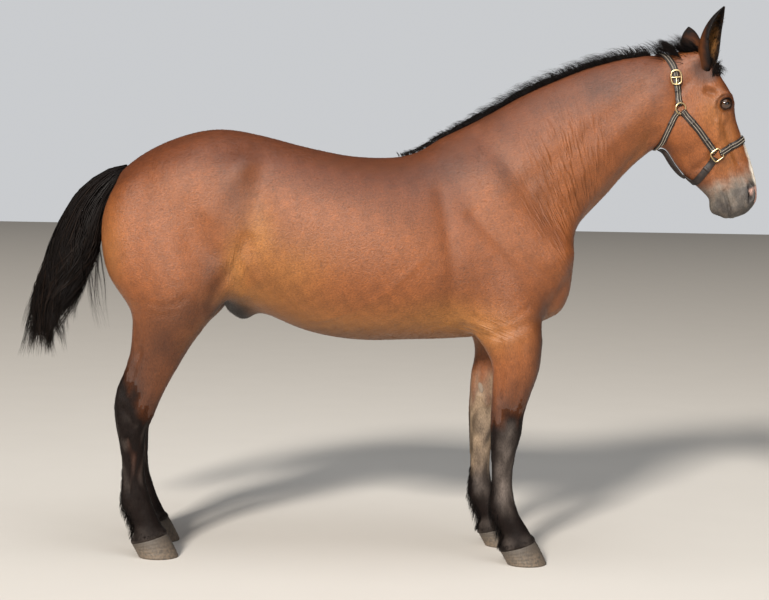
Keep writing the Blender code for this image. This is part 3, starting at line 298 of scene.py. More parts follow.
# Chestnuts: x, side and z of the callus on the inside of each leg.
CHESTNUTS = ((0.39, 1, 0.64), (0.456, -1, 0.64), (-0.975, 1, 0.47), (-0.943, -1, 0.47))
SOLE_HOLLOW = 0.006

# Tail seen from the side: x, z, half the depth of the hair, half its width.
TAIL = (
    (-1.0, 1.486, 0.03, 0.028),
    (-1.048, 1.466, 0.04, 0.034),
    (-1.096, 1.42, 0.052, 0.042),
    (-1.146, 1.35, 0.068, 0.05),
    (-1.18, 1.27, 0.082, 0.056),
    (-1.21, 1.18, 0.092, 0.06),
    (-1.254, 1.06, 0.09, 0.064),
    (-1.292, 0.955, 0.09, 0.062),
    (-1.306, 0.852, 0.098, 0.058),
    (-1.308, 0.73, 0.122, 0.05),
)

# Halter straps seen from the side: the places of each strap from ring to ring.
CROWN = ((1.11, 1.752), (1.103, 1.82), (1.096, 1.87), (1.088, 1.91), (1.061, 1.95))
CROWN_TOP = 1.036
CHEEK = ((1.11, 1.752), (1.186, 1.671), (1.261, 1.578))
NOSE = ((1.261, 1.578), (1.298, 1.599), (1.363, 1.637))
NOSE_FRONT = (1.4, 1.655)
CHIN = ((1.261, 1.578), (1.247, 1.548), (1.206, 1.491), (1.174, 1.447))
CHIN_UNDER = 1.15
THROAT = ((1.11, 1.752), (1.092, 1.721), (1.07, 1.664), (1.053, 1.616), (1.046, 1.569))
THROAT_UNDER = 1.044
STRAP_LIFT = 0.002

# The fittings that straps end in, and how far their wire is from the middle.
LOOPED_FITTINGS = ("ring", "square")
RING_REACH = 0.0205


class HorseSizes(PropertyGroup):
    coat_depth: FloatProperty(
        name="Coat depth", description="How far the skin lies inside the solids",
        default=0.0022, unit="LENGTH")
    relief: FloatProperty(
        name="Relief", description="Strength of muscles, tendons, veins and folds", default=1.0)
    strap_width: FloatProperty(
        name="Strap width", description="Width of the halter's leather",
        default=0.027, unit="LENGTH")
    wire: FloatProperty(
        name="Wire", description="Half thickness of the brass rings",
        default=0.003, unit="LENGTH")
    mane_strands: IntProperty(
        name="Mane strands", description="How many strands the mane has", default=3300)
    tail_strands: IntProperty(
        name="Tail strands", description="How many strands each half of the tail has",
        default=2600)
    coat_tufts: IntProperty(
        name="Coat tufts", description="How many short tufts stand out of the coat",
        default=41000)


def colour_property(name, description, default):
    return FloatVectorProperty(name=name, description=description, subtype="COLOR", size=3,
                               min=0.0, max=1.0, default=default)


class HorseColours(PropertyGroup):
    bay: colour_property("Bay", "Body coat", (0.19, 0.058, 0.0155))
    red: colour_property("Dark red", "Coat along the topline", (0.092, 0.025, 0.008))
    # Dark brown is also painted shade in hollows, under the crest and over the upper lids.
    umber: colour_property("Dark brown", "Shaded coat of the gaskins", (0.04, 0.0125, 0.005))
    gold: colour_property("Gold", "Coat of the flank, elbow and eye", (0.335, 0.145, 0.036))
    black: colour_property("Black", "Points, mane and tail", (0.006, 0.0045, 0.0042))
    # Dusty grey is dust, and also painted sheen on the fetlock joints and coronets.
    grey: colour_property("Dusty grey", "Dust on the lower legs", (0.098, 0.08, 0.07))
    mealy: colour_property("Mealy", "Muzzle", (0.19, 0.165, 0.135))
    white: colour_property("White", "Stripe down the nose", (0.68, 0.61, 0.52))
    pink: colour_property("Pink", "Snip at the nostril", (0.52, 0.3, 0.24))
    # Slate also gives the painted shade in the nostrils, along the mouth and at its corner.
    slate: colour_property("Slate", "Bare skin of the sheath and lids", (0.03, 0.025, 0.023))
    leather: colour_property("Leather", "Straps", (0.011, 0.0065, 0.005))
    thread: colour_property("Thread", "Stitching", (0.33, 0.29, 0.23))
    brass: colour_property("Brass", "Rings and buckles", (0.64, 0.5, 0.27))
    horn: colour_property("Horn", "Hooves", (0.036, 0.029, 0.023))
    sand: colour_property("Sand", "Dust on the hooves", (0.27, 0.195, 0.13))


# Curves and grids


def marks_along(points):
    """How far along their line each of the points is."""
    return np.concatenate([[0], np.cumsum(np.linalg.norm(np.diff(points, axis=0), axis=1))])


def read_along(rows, marks, places):
    """The rows of a line with the given marks, read at places along it."""
    return np.stack([np.interp(places, marks, column) for column in rows.T], -1)


def column_at(table, column, by, places):
    """One column of a table, read at places in another column that rises."""
    return np.interp(places, [row[by] for row in table], [row[column] for row in table])


def spline(rows, count):
    """Rows of numbers read from a smooth curve through the given rows."""
    rows = np.array(rows, float)
    marks = marks_along(rows[:, :3])
    slopes = np.gradient(rows, marks, axis=0)
    places = np.linspace(0, marks[-1], count)
    index = np.clip(np.searchsorted(marks, places, side="right") - 1, 0, len(rows) - 2)
    span = (marks[index + 1] - marks[index])[:, None]
    t = (places - marks[index])[:, None] / span
    return (
        (2 * t**3 - 3 * t**2 + 1) * rows[index]
        + (t**3 - 2 * t**2 + t) * span * slopes[index]
        + (3 * t**2 - 2 * t**3) * rows[index + 1]
        + (t**3 - t**2) * span * slopes[index + 1]
    )


def unit(vectors):
    length = np.linalg.norm(vectors, axis=-1, keepdims=True)
    return vectors / np.maximum(length, 1e-9)


def toward(first, second, share):
    """From the first to the second by each point's share."""
    share = share[:, None]
    return first * (1 - share) + second * share


def along_skin(ways, normals):
    """The ways laid along a surface with the given normals."""
    return unit(ways - normals * np.sum(ways * normals, axis=1)[:, None])


def fade(low, high, value):
    """0 below low, 1 above high, and smooth between."""
    t = np.clip((value - low) / (high - low), 0, 1)
    return t * t * (3 - 2 * t)


def rolled(made, rings, closed=False):
    """Rolls a grid into a tube whose rings run through the points, and closes its ends."""
    rings = np.asarray(rings, float)
    count, sides = rings.shape[:2]
    spans = count if closed else count - 1
    grid = bmesh.ops.create_grid(made, x_segments=sides, y_segments=spans, size=1)["verts"]
    for vert in grid:
        column = round((vert.co.x + 1) / 2 * sides) % sides
        row = round((vert.co.y + 1) / 2 * spans) % count
        vert.co = rings[row, column]
    faces = {face for vert in grid for face in vert.link_faces}
    bmesh.ops.remove_doubles(made, verts=grid, dist=1e-7)
    faces = [face for face in faces if face.is_valid]
    if not closed:
        rim = [edge for edge in made.edges if edge.is_boundary]
        faces += bmesh.ops.holes_fill(made, edges=rim, sides=0)["faces"]
    bmesh.ops.recalc_face_normals(made, faces=faces)


def as_mesh(made, name):
    mesh = bpy.data.meshes.new(name)
    made.to_mesh(mesh)
    made.free()
    return mesh


def coordinates(mesh):
    points = np.empty(len(mesh.vertices) * 3)
    mesh.vertices.foreach_get("co", points)
    return points.reshape(-1, 3)


def normals_of(mesh):
    normals = np.empty(len(mesh.vertices) * 3)
    mesh.vertices.foreach_get("normal", normals)
    return normals.reshape(-1, 3)


def move_to(mesh, points):
    mesh.vertices.foreach_set("co", np.ascontiguousarray(points, float).ravel())
    mesh.update()


def relax(mesh, softness, passes):
    """Smooths the mesh, each vertex by its own softness from 0 to 1."""
    points = coordinates(mesh)
    count = len(points)
    ends = np.empty(len(mesh.edges) * 2, np.int64)
    mesh.edges.foreach_get("vertices", ends)
    ends = ends.reshape(-1, 2)
    start = np.concatenate([ends[:, 0], ends[:, 1]])
    finish = np.concatenate([ends[:, 1], ends[:, 0]])
    number = np.bincount(start, minlength=count)[:, None]
    soft = softness(points)[:, None]
    for _ in range(passes):
        total = np.stack([np.bincount(start, points[finish, k], count) for k in range(3)], 1)
        points = points + soft * 0.5 * (total / number - points)
    move_to(mesh, points)


def settled(obj):
    """Applies the object's modifiers."""
    graph = bpy.context.evaluated_depsgraph_get()
    mesh = bpy.data.meshes.new_from_object(obj.evaluated_get(graph))
    old = obj.data
    obj.modifiers.clear()
    obj.data = mesh
    bpy.data.meshes.remove(old)
    return obj


def finished(name, mesh, materials, nodes=(), slot=None):
    """Puts a mesh in the frame as a piece of the horse, in place of the named solids."""
    mesh.transform(Matrix.Translation(ORIGIN))
    mesh.name = name
    for material in materials:
        mesh.materials.append(material)
    mesh.shade_smooth()
    obj = bpy.data.objects.new(name, mesh)
    bpy.context.scene.collection.objects.link(obj)
    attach(obj, "root")
    if nodes:
        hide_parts(*nodes)
    if slot or nodes:
        slot or nodes[0]
    return obj


# The forms of the flesh


def superellipse(turns, up, down, side, crown, keel):
    """Out and high places of a ring whose top and bottom halves are each their own."""
    across, rise = np.cos(turns), np.sin(turns)
    power = 2 / np.where(rise > 0, crown, keel)
    out = np.sign(across) * np.abs(across) ** power * side
    high = np.sign(rise) * np.abs(rise) ** power * np.where(rise > 0, up, down)
    return out, high


def limb(made, rows, count, sides, axis=None):
    """A tube along a line: x, y, z, up or forward, down or back, half width, crown, keel."""
    table = spline(rows, count)
    turns = np.linspace(0, 2 * math.pi, sides, endpoint=False)
    rings = []
    for i, row in enumerate(table):
        before, after = table[max(i - 1, 0)][:3], table[min(i + 1, count - 1)][:3]
        tangent = Vector(axis) if axis else Vector(after - before).normalized()
        side_way = Vector((0, 1, 0))
        up_way = tangent.cross(side_way).normalized()
        crown, keel = [*row[6:], 2.1, 2.1][:2]
        out, high = superellipse(turns, *row[3:6], crown, keel)
        rings.append(row[:3] + np.outer(high, up_way) + np.outer(out, side_way))
    rolled(made, rings)


def ball(made, centre, radii, pitch=0.0, segments=20):
    found = bmesh.ops.create_uvsphere(made, u_segments=segments, v_segments=segments // 2,
                                      radius=1)
    turn = Matrix.Rotation(math.radians(pitch), 4, "Y")
    place = Matrix.Translation(centre) @ turn @ Matrix.Diagonal((*radii, 1))
    bmesh.ops.transform(made, matrix=place, verts=found["verts"])


def head_point(down, up, out=0.0):
    """A point of the head, from its distance down the head, up to the face and out."""
    along = Vector((math.cos(HEAD_PITCH), 0, -math.sin(HEAD_PITCH)))
    across = Vector((math.sin(HEAD_PITCH), 0, math.cos(HEAD_PITCH)))
    return HEAD_ROOT + along * down + across * up + Vector((0, out, 0))


def head_places(points):
    """The distance down the head and up to the face of each point."""
    x, z = points[:, 0] - HEAD_ROOT.x, points[:, 2] - HEAD_ROOT.z
    cos, sin = math.cos(HEAD_PITCH), math.sin(HEAD_PITCH)
    return x * cos - z * sin, x * sin + z * cos


def leg_rows(rows, stagger, sign):
    """A leg's rows on one side, the left legs standing a little behind."""
    shift, reach = stagger if sign > 0 else (0, 0)
    low, high = rows[-1][2], rows[0][2]
    table = []
    for x, out, z, front, back, half in rows:
        share = min(1, reach * (high - z) / (high - low))
        table.append((x + shift * share, sign * out, z, front, back, half))
    return table


def flesh_forms():
    """All the forms of the flesh, still apart, in one mesh."""
    made = bmesh.new()
    trunk = [(x, 0, level, top - level, level - bottom, half, crown)
             for x, top, bottom, level, half, crown in TRUNK]
    limb(made, trunk, 60, 36, (1, 0, 0))
    neck = [(x, 0, z, up, down, half, crown) for x, z, up, down, half, crown in NECK]
    limb(made, neck, 36, 32)
    head = [(*head_point(down, 0), face, jaw, half, crown, keel)
            for down, face, jaw, half, crown, keel in HEAD]
    limb(made, head, 56, 32, head_point(1, 0) - head_point(0, 0))
    for sign in (-1, 1):
        for (down, up, out), (long, deep, wide) in HEAD_FORMS:
            centre = head_point(down, up, sign * out)
            ball(made, centre, (deep, wide, long), math.degrees(HEAD_PITCH) - 90)
        for centre, radii, pitch in MUSCLES:
            ball(made, (centre[0], sign * centre[1], centre[2]), radii, pitch)
        for _, rows, stagger, _ in LEG_PAIRS:
            limb(made, leg_rows(rows, stagger, sign), 60, 24)
    return as_mesh(made, "flesh")


def body_softness(points):
    """The trunk and the roots of the legs blend widely, and the head and lower legs little."""
    x, z = points[:, 0], points[:, 2]
    lower_leg = np.clip((z - 0.55) / 0.35, 0.05, 1)
    head = 1 - 0.93 * np.clip((x - 1.02) / 0.12, 0, 1)
    return lower_leg * head


def refined(mesh, wanted, softness=0.7):
    """Halves the faces that the test picks, and evens out their new points."""
    made = bmesh.new()
    made.from_mesh(mesh)
    made.faces.ensure_lookup_table()
    centres = np.array([face.calc_center_median() for face in made.faces])
    picked = np.flatnonzero(wanted(centres))
    edges = {edge for i in picked for edge in made.faces[i].edges}
    bmesh.ops.subdivide_edges(made, edges=list(edges), cuts=1, use_grid_fill=True)
    made.to_mesh(mesh)
    made.free()
    relax(mesh, lambda points: softness * wanted(points), 3)


def line_places(x, z, line):
    """Each point's least distance to a line of places, the share of the line where that is,
    and how high the point is over it."""
    line = np.array(line)
    marks = marks_along(line)
    best = np.full(len(x), 9.0)
    along, high = np.zeros(len(x)), np.zeros(len(x))
    for (ax, az), (bx, bz), mark in zip(line, line[1:], marks):
        run, rise = bx - ax, bz - az
        span = math.hypot(run, rise)
        t = np.clip(((x - ax) * run + (z - az) * rise) / span**2, 0, 1)
        away = np.hypot(x - ax - t * run, z - az - t * rise)
        near = away < best
        best[near] = away[near]
        along[near] = (mark + t[near] * span) / marks[-1]
        high[near] = ((z - az) * run - (x - ax) * rise)[near] / span
    return best, along, high


def line_distance(x, z, line):
    """The least distance from each point to a line of places."""
    return line_places(x, z, line)[0]


def swell(distance, width):
    return np.exp(-(distance / width) ** 2)


def leg_shift(points, rows, stagger):
    """How far each point's leg stands behind the one that the places are drawn for."""
    low, high = rows[-1][2], rows[0][2]
    share = np.clip(stagger[1] * (high - points[:, 2]) / (high - low), 0, 1)
    return np.where(points[:, 1] > 0, stagger[0] * share, 0)


def leg_front(points, rows, stagger):
    """How far each point is before the middle of its leg."""
    middle = column_at(rows[::-1], 0, 2, points[:, 2])
    return points[:, 0] - leg_shift(points, rows, stagger) - middle


def body_relief(points, normals):
    """How far the skin stands out or sinks in at each point."""
    x, y, z = points.T
    sideways = np.clip(np.abs(normals[:, 1]) * 1.6, 0, 1) * fade(0.02, 0.06, np.abs(y))
    total = np.zeros(len(x))

    def carve(table, mine, across, level):
        for height, width, line in table:
            raised = height * swell(line_distance(across, level, line), width)
            total[mine] += raised * sideways[mine]

    carve(RELIEF, slice(None), x, z)
    for ahead, rows, stagger, table in LEG_PAIRS:
        mine = (z < 1.0) & (x * ahead > 0.2)
        carve(table, mine, x[mine] - leg_shift(points[mine], rows, stagger), z[mine])
    down, up = head_places(points)
    mine = (x > 1.0) & (down > 0.02)
    carve(HEAD_RELIEF, mine, down[mine], up[mine])
    return total


def eye_frame(sign):
    """Middle of the eyeball, and the ways out, along the lids and over them."""
    centre = head_point(EYE_PLACE[0], EYE_PLACE[1], sign * EYE_PLACE[2])
    outward = Vector((0.25, sign, 0.05)).normalized()
    along = Vector((0.85, 0, 0.35))
    along = (along - outward * along.dot(outward)).normalized()
    over = outward.cross(along) * sign * -1
    return centre, outward, along, over.normalized()


def eye_places(points, sign):
    """Places along and over the lids, in half openings, and the distance out."""
    centre, outward, along, over = eye_frame(sign)
    offset = points - np.array(centre)
    u = offset @ np.array(along) / EYE_HALF_LENGTH
    v = offset @ np.array(over) / EYE_HALF_HEIGHT
    return u, v, offset @ np.array(outward)


def near_eyes(points, reach):
    """Which points lie within so many half openings of an eye's middle."""
    near = np.zeros(len(points), bool)
    for sign in (-1, 1):
        u, v, out = eye_places(points, sign)
        near |= (np.hypot(u, v) < reach) & (out > -0.01)
    return near


def lid_relief(points):
    """Lids, the crease above them and the hollow under the brow."""
    total = np.zeros(len(points))
    for sign in (-1, 1):
        u, v, out = eye_places(points, sign)
        near = (out > -0.01) & (points[:, 1] * sign > 0) & (np.abs(u) < 3) & (np.abs(v) < 4)
        r = np.hypot(u, v)
        upper = fade(-0.2, 0.4, v)
        total += near * (
            (0.0004 + 0.0026 * upper) * swell(r - 1.22, 0.2)
            - 0.0024 * swell(r - 1.66, 0.18) * upper
            + 0.0019 * swell(r - 2.1, 0.28) * upper
            - 0.0014 * swell(r - 1.75, 0.22) * (1 - upper)
        )
    return total


def muzzle_relief(points, normals):
    """Nostrils, the wings round them, and the line between the lips."""
    x, y, z = points.T
    total = np.zeros(len(x))
    mouth = line_distance(x, z, MOUTH)
    muzzle = (x > 1.2) & (z < 1.5)
    total -= muzzle * 0.0052 * swell(mouth, 0.0055) * fade(0.004, 0.02, np.abs(y))
    total += muzzle * 0.0028 * swell(mouth - 0.014, 0.009)
    side = muzzle & (np.abs(normals[:, 1]) > 0.1)
    lean = (x - NOSTRIL[0]) * 0.97 + (z - NOSTRIL[1]) * 0.1
    tall = (z - NOSTRIL[1]) * 0.97 - (x - NOSTRIL[0]) * 0.1
    bow = lean + 6.0 * (tall - 0.006) ** 2
    q = np.sqrt((bow / 0.0095) ** 2 + (tall / 0.029) ** 2)
    total -= side * 0.024 * np.exp(-(q / 0.85) ** 4)
    total += side * 0.005 * swell(q - 1.55, 0.42)
    return total


def lids_opened(mesh):
    """Opens the lids and turns their edges in to the eyeball."""
    made = bmesh.new()
    made.from_mesh(mesh)
    for sign in (-1, 1):
        centre, outward, along, over = eye_frame(sign)
        faces = list(made.faces)
        middles = np.array([face.calc_center_median() for face in faces])
        u, v, out = eye_places(middles, sign)
        inside = (np.hypot(u, v) < 1) & (out > 0)
        bmesh.ops.delete(made, geom=[faces[i] for i in np.flatnonzero(inside)], context="FACES")
        rim = [edge for edge in made.edges if edge.is_boundary]
        for vert in {vert for edge in rim for vert in edge.verts}:
            place = vert.co - centre
            a = place.dot(along) / EYE_HALF_LENGTH
            b = place.dot(over) / EYE_HALF_HEIGHT
            stretch = 1 / max(math.hypot(a, b), 1e-6)
            flat = (along * a * EYE_HALF_LENGTH + over * b * EYE_HALF_HEIGHT) * stretch
            reach = math.sqrt(max((EYE_RADIUS + 0.0016) ** 2 - flat.length_squared, 1e-6))
            vert.co = centre + flat + outward * reach
        for inward in (0.0012, 0.005):
            ring = bmesh.ops.extrude_edge_only(made, edges=rim)["geom"]
            verts = [item for item in ring if isinstance(item, bmesh.types.BMVert)]
            for vert in verts:
                vert.co = centre + (vert.co - centre) * (1 - inward / EYE_RADIUS)
            rim = [item for item in ring if isinstance(item, bmesh.types.BMEdge)]
        bmesh.ops.holes_fill(made, edges=rim, sides=0)
    bmesh.ops.recalc_face_normals(made, faces=made.faces)
    made.to_mesh(mesh)
    made.free()


def hoof_outline(turns):
    """Forward and sideways places round a hoof, which narrows to its heels."""
    ahead = np.cos(turns)
    ahead = np.where(ahead < 0, -np.abs(ahead) ** 0.75, ahead)
    return ahead, np.sin(turns) * (1 + 0.12 * np.minimum(ahead, 0))


def hoof_height(row, x):
    """The height of a hoof's coronet over each place from the toe to the heel."""
    middle, _, long, _, toe, heel = row
    return heel + (toe - heel) * (x - middle + long) / (2 * long)


def coronet_fitted(points):
    """The lower legs drawn in or out to the tops of their hooves, and ended inside them."""
    points = points.copy()
    for row in HOOVES.values():
        middle, out, long, wide, toe, heel = row
        near = (points[:, 2] < 0.2) & (np.abs(points[:, 0] - middle) < 0.2)
        near &= points[:, 1] * out > 0
        x, y, z = points[near].T
        centre = middle - TOE_SLOPE * (toe + heel) / 2
        level = hoof_height(row, x)
        above = z - level
        ahead, across = hoof_outline(np.arctan2((y - out) / wide, (x - centre) / long))
        rim_x = centre + long * 0.88 * ahead
        rim_y = out + wide * 0.88 * across
        pull = fade(0.034, 0.0, above)
        inside = 1 - 0.3 * fade(0.0, -0.012, above)
        x = x + (centre + (rim_x - centre) * inside - x) * pull
        y = y + (out + (rim_y - out) * inside - y) * pull
        z = np.where(above < 0, level - 0.01 * (1 - np.exp(above / 0.01)), z)
        points[near] = np.stack([x, y, z], 1)
    return points


def fine_places(points):
    """The head and the lower legs, which carry finer forms."""
    return ((points[:, 0] > 1.0) & (points[:, 2] > 1.2)) | (points[:, 2] < 0.62)


def finest_places(points):
    """Round the eyes, the nostrils and the mouth."""
    x, _, z = points.T
    nostril = np.hypot((x - NOSTRIL[0]) / 0.03, (z - NOSTRIL[1]) / 0.05) < 1
    mouth = (line_distance(x, z, MOUTH) < 0.012) & (z < 1.46)
    return near_eyes(points, 2.6) | nostril | mouth


# The side of the cells that the forms are fused in.
SKIN_GRID = 0.013


def make_skin(sizes):
    """The whole skin: forms fused, smoothed, refined, cut off at the hooves and sculpted."""
    body = bpy.data.objects.new("skin_forms", flesh_forms())
    bpy.context.scene.collection.objects.link(body)
    fuse = body.modifiers.new("fuse", "REMESH")
    fuse.mode = "VOXEL"
    fuse.voxel_size = SKIN_GRID
    settled(body)
    mesh = body.data.copy()
    bpy.data.objects.remove(body)
    relax(mesh, body_softness, 40)
    refined(mesh, fine_places)
    refined(mesh, finest_places)
    points, normals = coordinates(mesh), normals_of(mesh)
    raised = (body_relief(points, normals) + lid_relief(points)
              + muzzle_relief(points, normals)) * sizes.relief
    points = points + normals * (raised - sizes.coat_depth)[:, None]
    move_to(mesh, coronet_fitted(points))
    relax(mesh, lambda points: 0.35 * np.ones(len(points)), 2)
    lids_opened(mesh)
    return mesh


def skin_surface():
    """The finished skin as a tree to ask for places on it."""
    mesh = bpy.data.objects["skin"].data
    points = coordinates(mesh) - np.array(ORIGIN)
    polygons = [tuple(face.vertices) for face in mesh.polygons]
    return BVHTree.FromPolygons([tuple(point) for point in points], polygons)


def struck(tree, start, way, reach=9.0):
    """Where a ray meets the skin and the normal there, or nothing for both."""
    return tree.ray_cast(Vector(start), Vector(way), reach)[:2]


# Colours of the coat


def mottle(points, size, seed):
    """Soft patches between -1 and 1, about the given size across."""
    draw = np.random.default_rng(seed)
    total = np.zeros(len(points))
    for _ in range(6):
        way = unit(draw.normal(size=3)) * 2 * math.pi / (size * draw.uniform(1.4, 3.0))
        total += np.sin(points @ way + draw.uniform(0, 2 * math.pi))
    return np.clip(total / 3.2, -1, 1)


def spot(points, centre, radii):
    """1 at the centre and 0 well outside, seen from the side."""
    x, _, z = points.T
    return np.exp(-((x - centre[0]) / radii[0]) ** 2 - ((z - centre[1]) / radii[1]) ** 2)


# Where the coat turns gold: place, radii, strength.
GOLD_SPOTS = (
    ((-0.56, 1.11), (0.045, 0.12), 0.7),
    ((-0.47, 1.25), (0.06, 0.11), 0.45),
    ((-0.35, 1.11), (0.17, 0.13), 0.35),
    ((-0.54, 1.0), (0.11, 0.045), 0.6),
    ((0.25, 0.93), (0.15, 0.08), 0.45),
    ((-1.03, 1.18), (0.06, 0.16), 0.25),
    ((0.38, 0.88), (0.14, 0.08), 0.4),
    ((1.24, 1.74), (0.06, 0.075), 0.45),
    ((1.3, 1.62), (0.05, 0.11), 0.35),
    ((-0.15, 0.9), (0.4, 0.06), 0.3),
)

# Painted shade: where the coat is darkened for hollows, creases, the gaskins, the underside and
# faces turned from the light: place, radii, strength.
PAINTED_SHADE_SPOTS = (
    ((-0.56, 1.42), (0.07, 0.11), 0.4),
    ((-0.65, 1.09), (0.055, 0.11), 0.7),
    ((-0.74, 0.96), (0.12, 0.08), 0.6),
    ((-0.83, 0.84), (0.11, 0.13), 0.9),
    ((-0.93, 0.7), (0.12, 0.09), 0.5),
    ((-0.7, 0.93), (0.06, 0.08), 0.4),
    ((0.42, 1.7), (0.09, 0.06), 0.4),
    ((0.6, 1.77), (0.11, 0.06), 0.55),
    ((0.8, 1.83), (0.11, 0.06), 0.62),
    ((0.98, 1.86), (0.08, 0.06), 0.35),
    ((1.0, 1.74), (0.04, 0.11), 0.28),
    ((0.45, 1.48), (0.06, 0.12), 0.48),
    ((0.58, 1.44), (0.05, 0.15), 0.42),
    ((0.25, 1.56), (0.08, 0.11), 0.3),
    ((0.6, 0.79), (0.045, 0.2), 0.8),
    ((0.03, 1.49), (0.35, 0.07), 0.3),
    ((-0.05, 0.86), (0.33, 0.04), 0.35),
    ((1.235, 1.815), (0.02, 0.018), 0.55),
    ((1.29, 1.7), (0.03, 0.04), 0.25),
    ((1.175, 1.495), (0.04, 0.03), 0.5),
    ((1.225, 1.44), (0.022, 0.045), 0.6),
    ((1.29, 1.56), (0.03, 0.022), 0.45),
)

# Dark patches of the muzzle skin, the first also painted shade in the corner of the mouth: place
# and radii.
MUZZLE_SPOTS = (
    ((1.292, 1.428), (0.013, 0.012)),
    ((1.3, 1.375), (0.02, 0.045)),
    ((1.35, 1.368), (0.03, 0.02)),
    ((1.275, 1.35), (0.016, 0.012)),
)

# The places towards which the fine folds of the neck and the flank run.
FOLD_FANS = ((0.96, 0.7), (-0.66, 0.6))


def streaked(points):
    """Fine upright streaks between -1 and 1."""
    return mottle(points * (1.0, 1.0, 0.16), 0.01, 6)


def leg_marks(points):
    """For the fore and the hind legs: which points are theirs, how far each is above the edge
    of the black, and how far it is behind the leg's middle."""
    x, _, z = points.T
    wander = 0.014 * mottle(points, 0.035, 4) + 0.022 * streaked(points)
    for (ahead, rows, stagger, _), inner, top, slant in zip(
            LEG_PAIRS, (0.2, 0.6), (0.575, 0.622), (-0.03, 0.095)):
        behind = -leg_front(points, rows, stagger) / 0.08
        edge = top + slant * np.clip(behind, -1.2, 1.2) + wander
        yield (z < 1.0) & (x * ahead > inner), z - edge, behind, rows is HIND_LEG


def is_black(points):
    """Whether each point lies in the black of the legs or on the lids."""
    black = near_eyes(points, 1.6)
    for mine, rise, _, _ in leg_marks(points):
        black |= mine & (rise < 0.01)
    return black


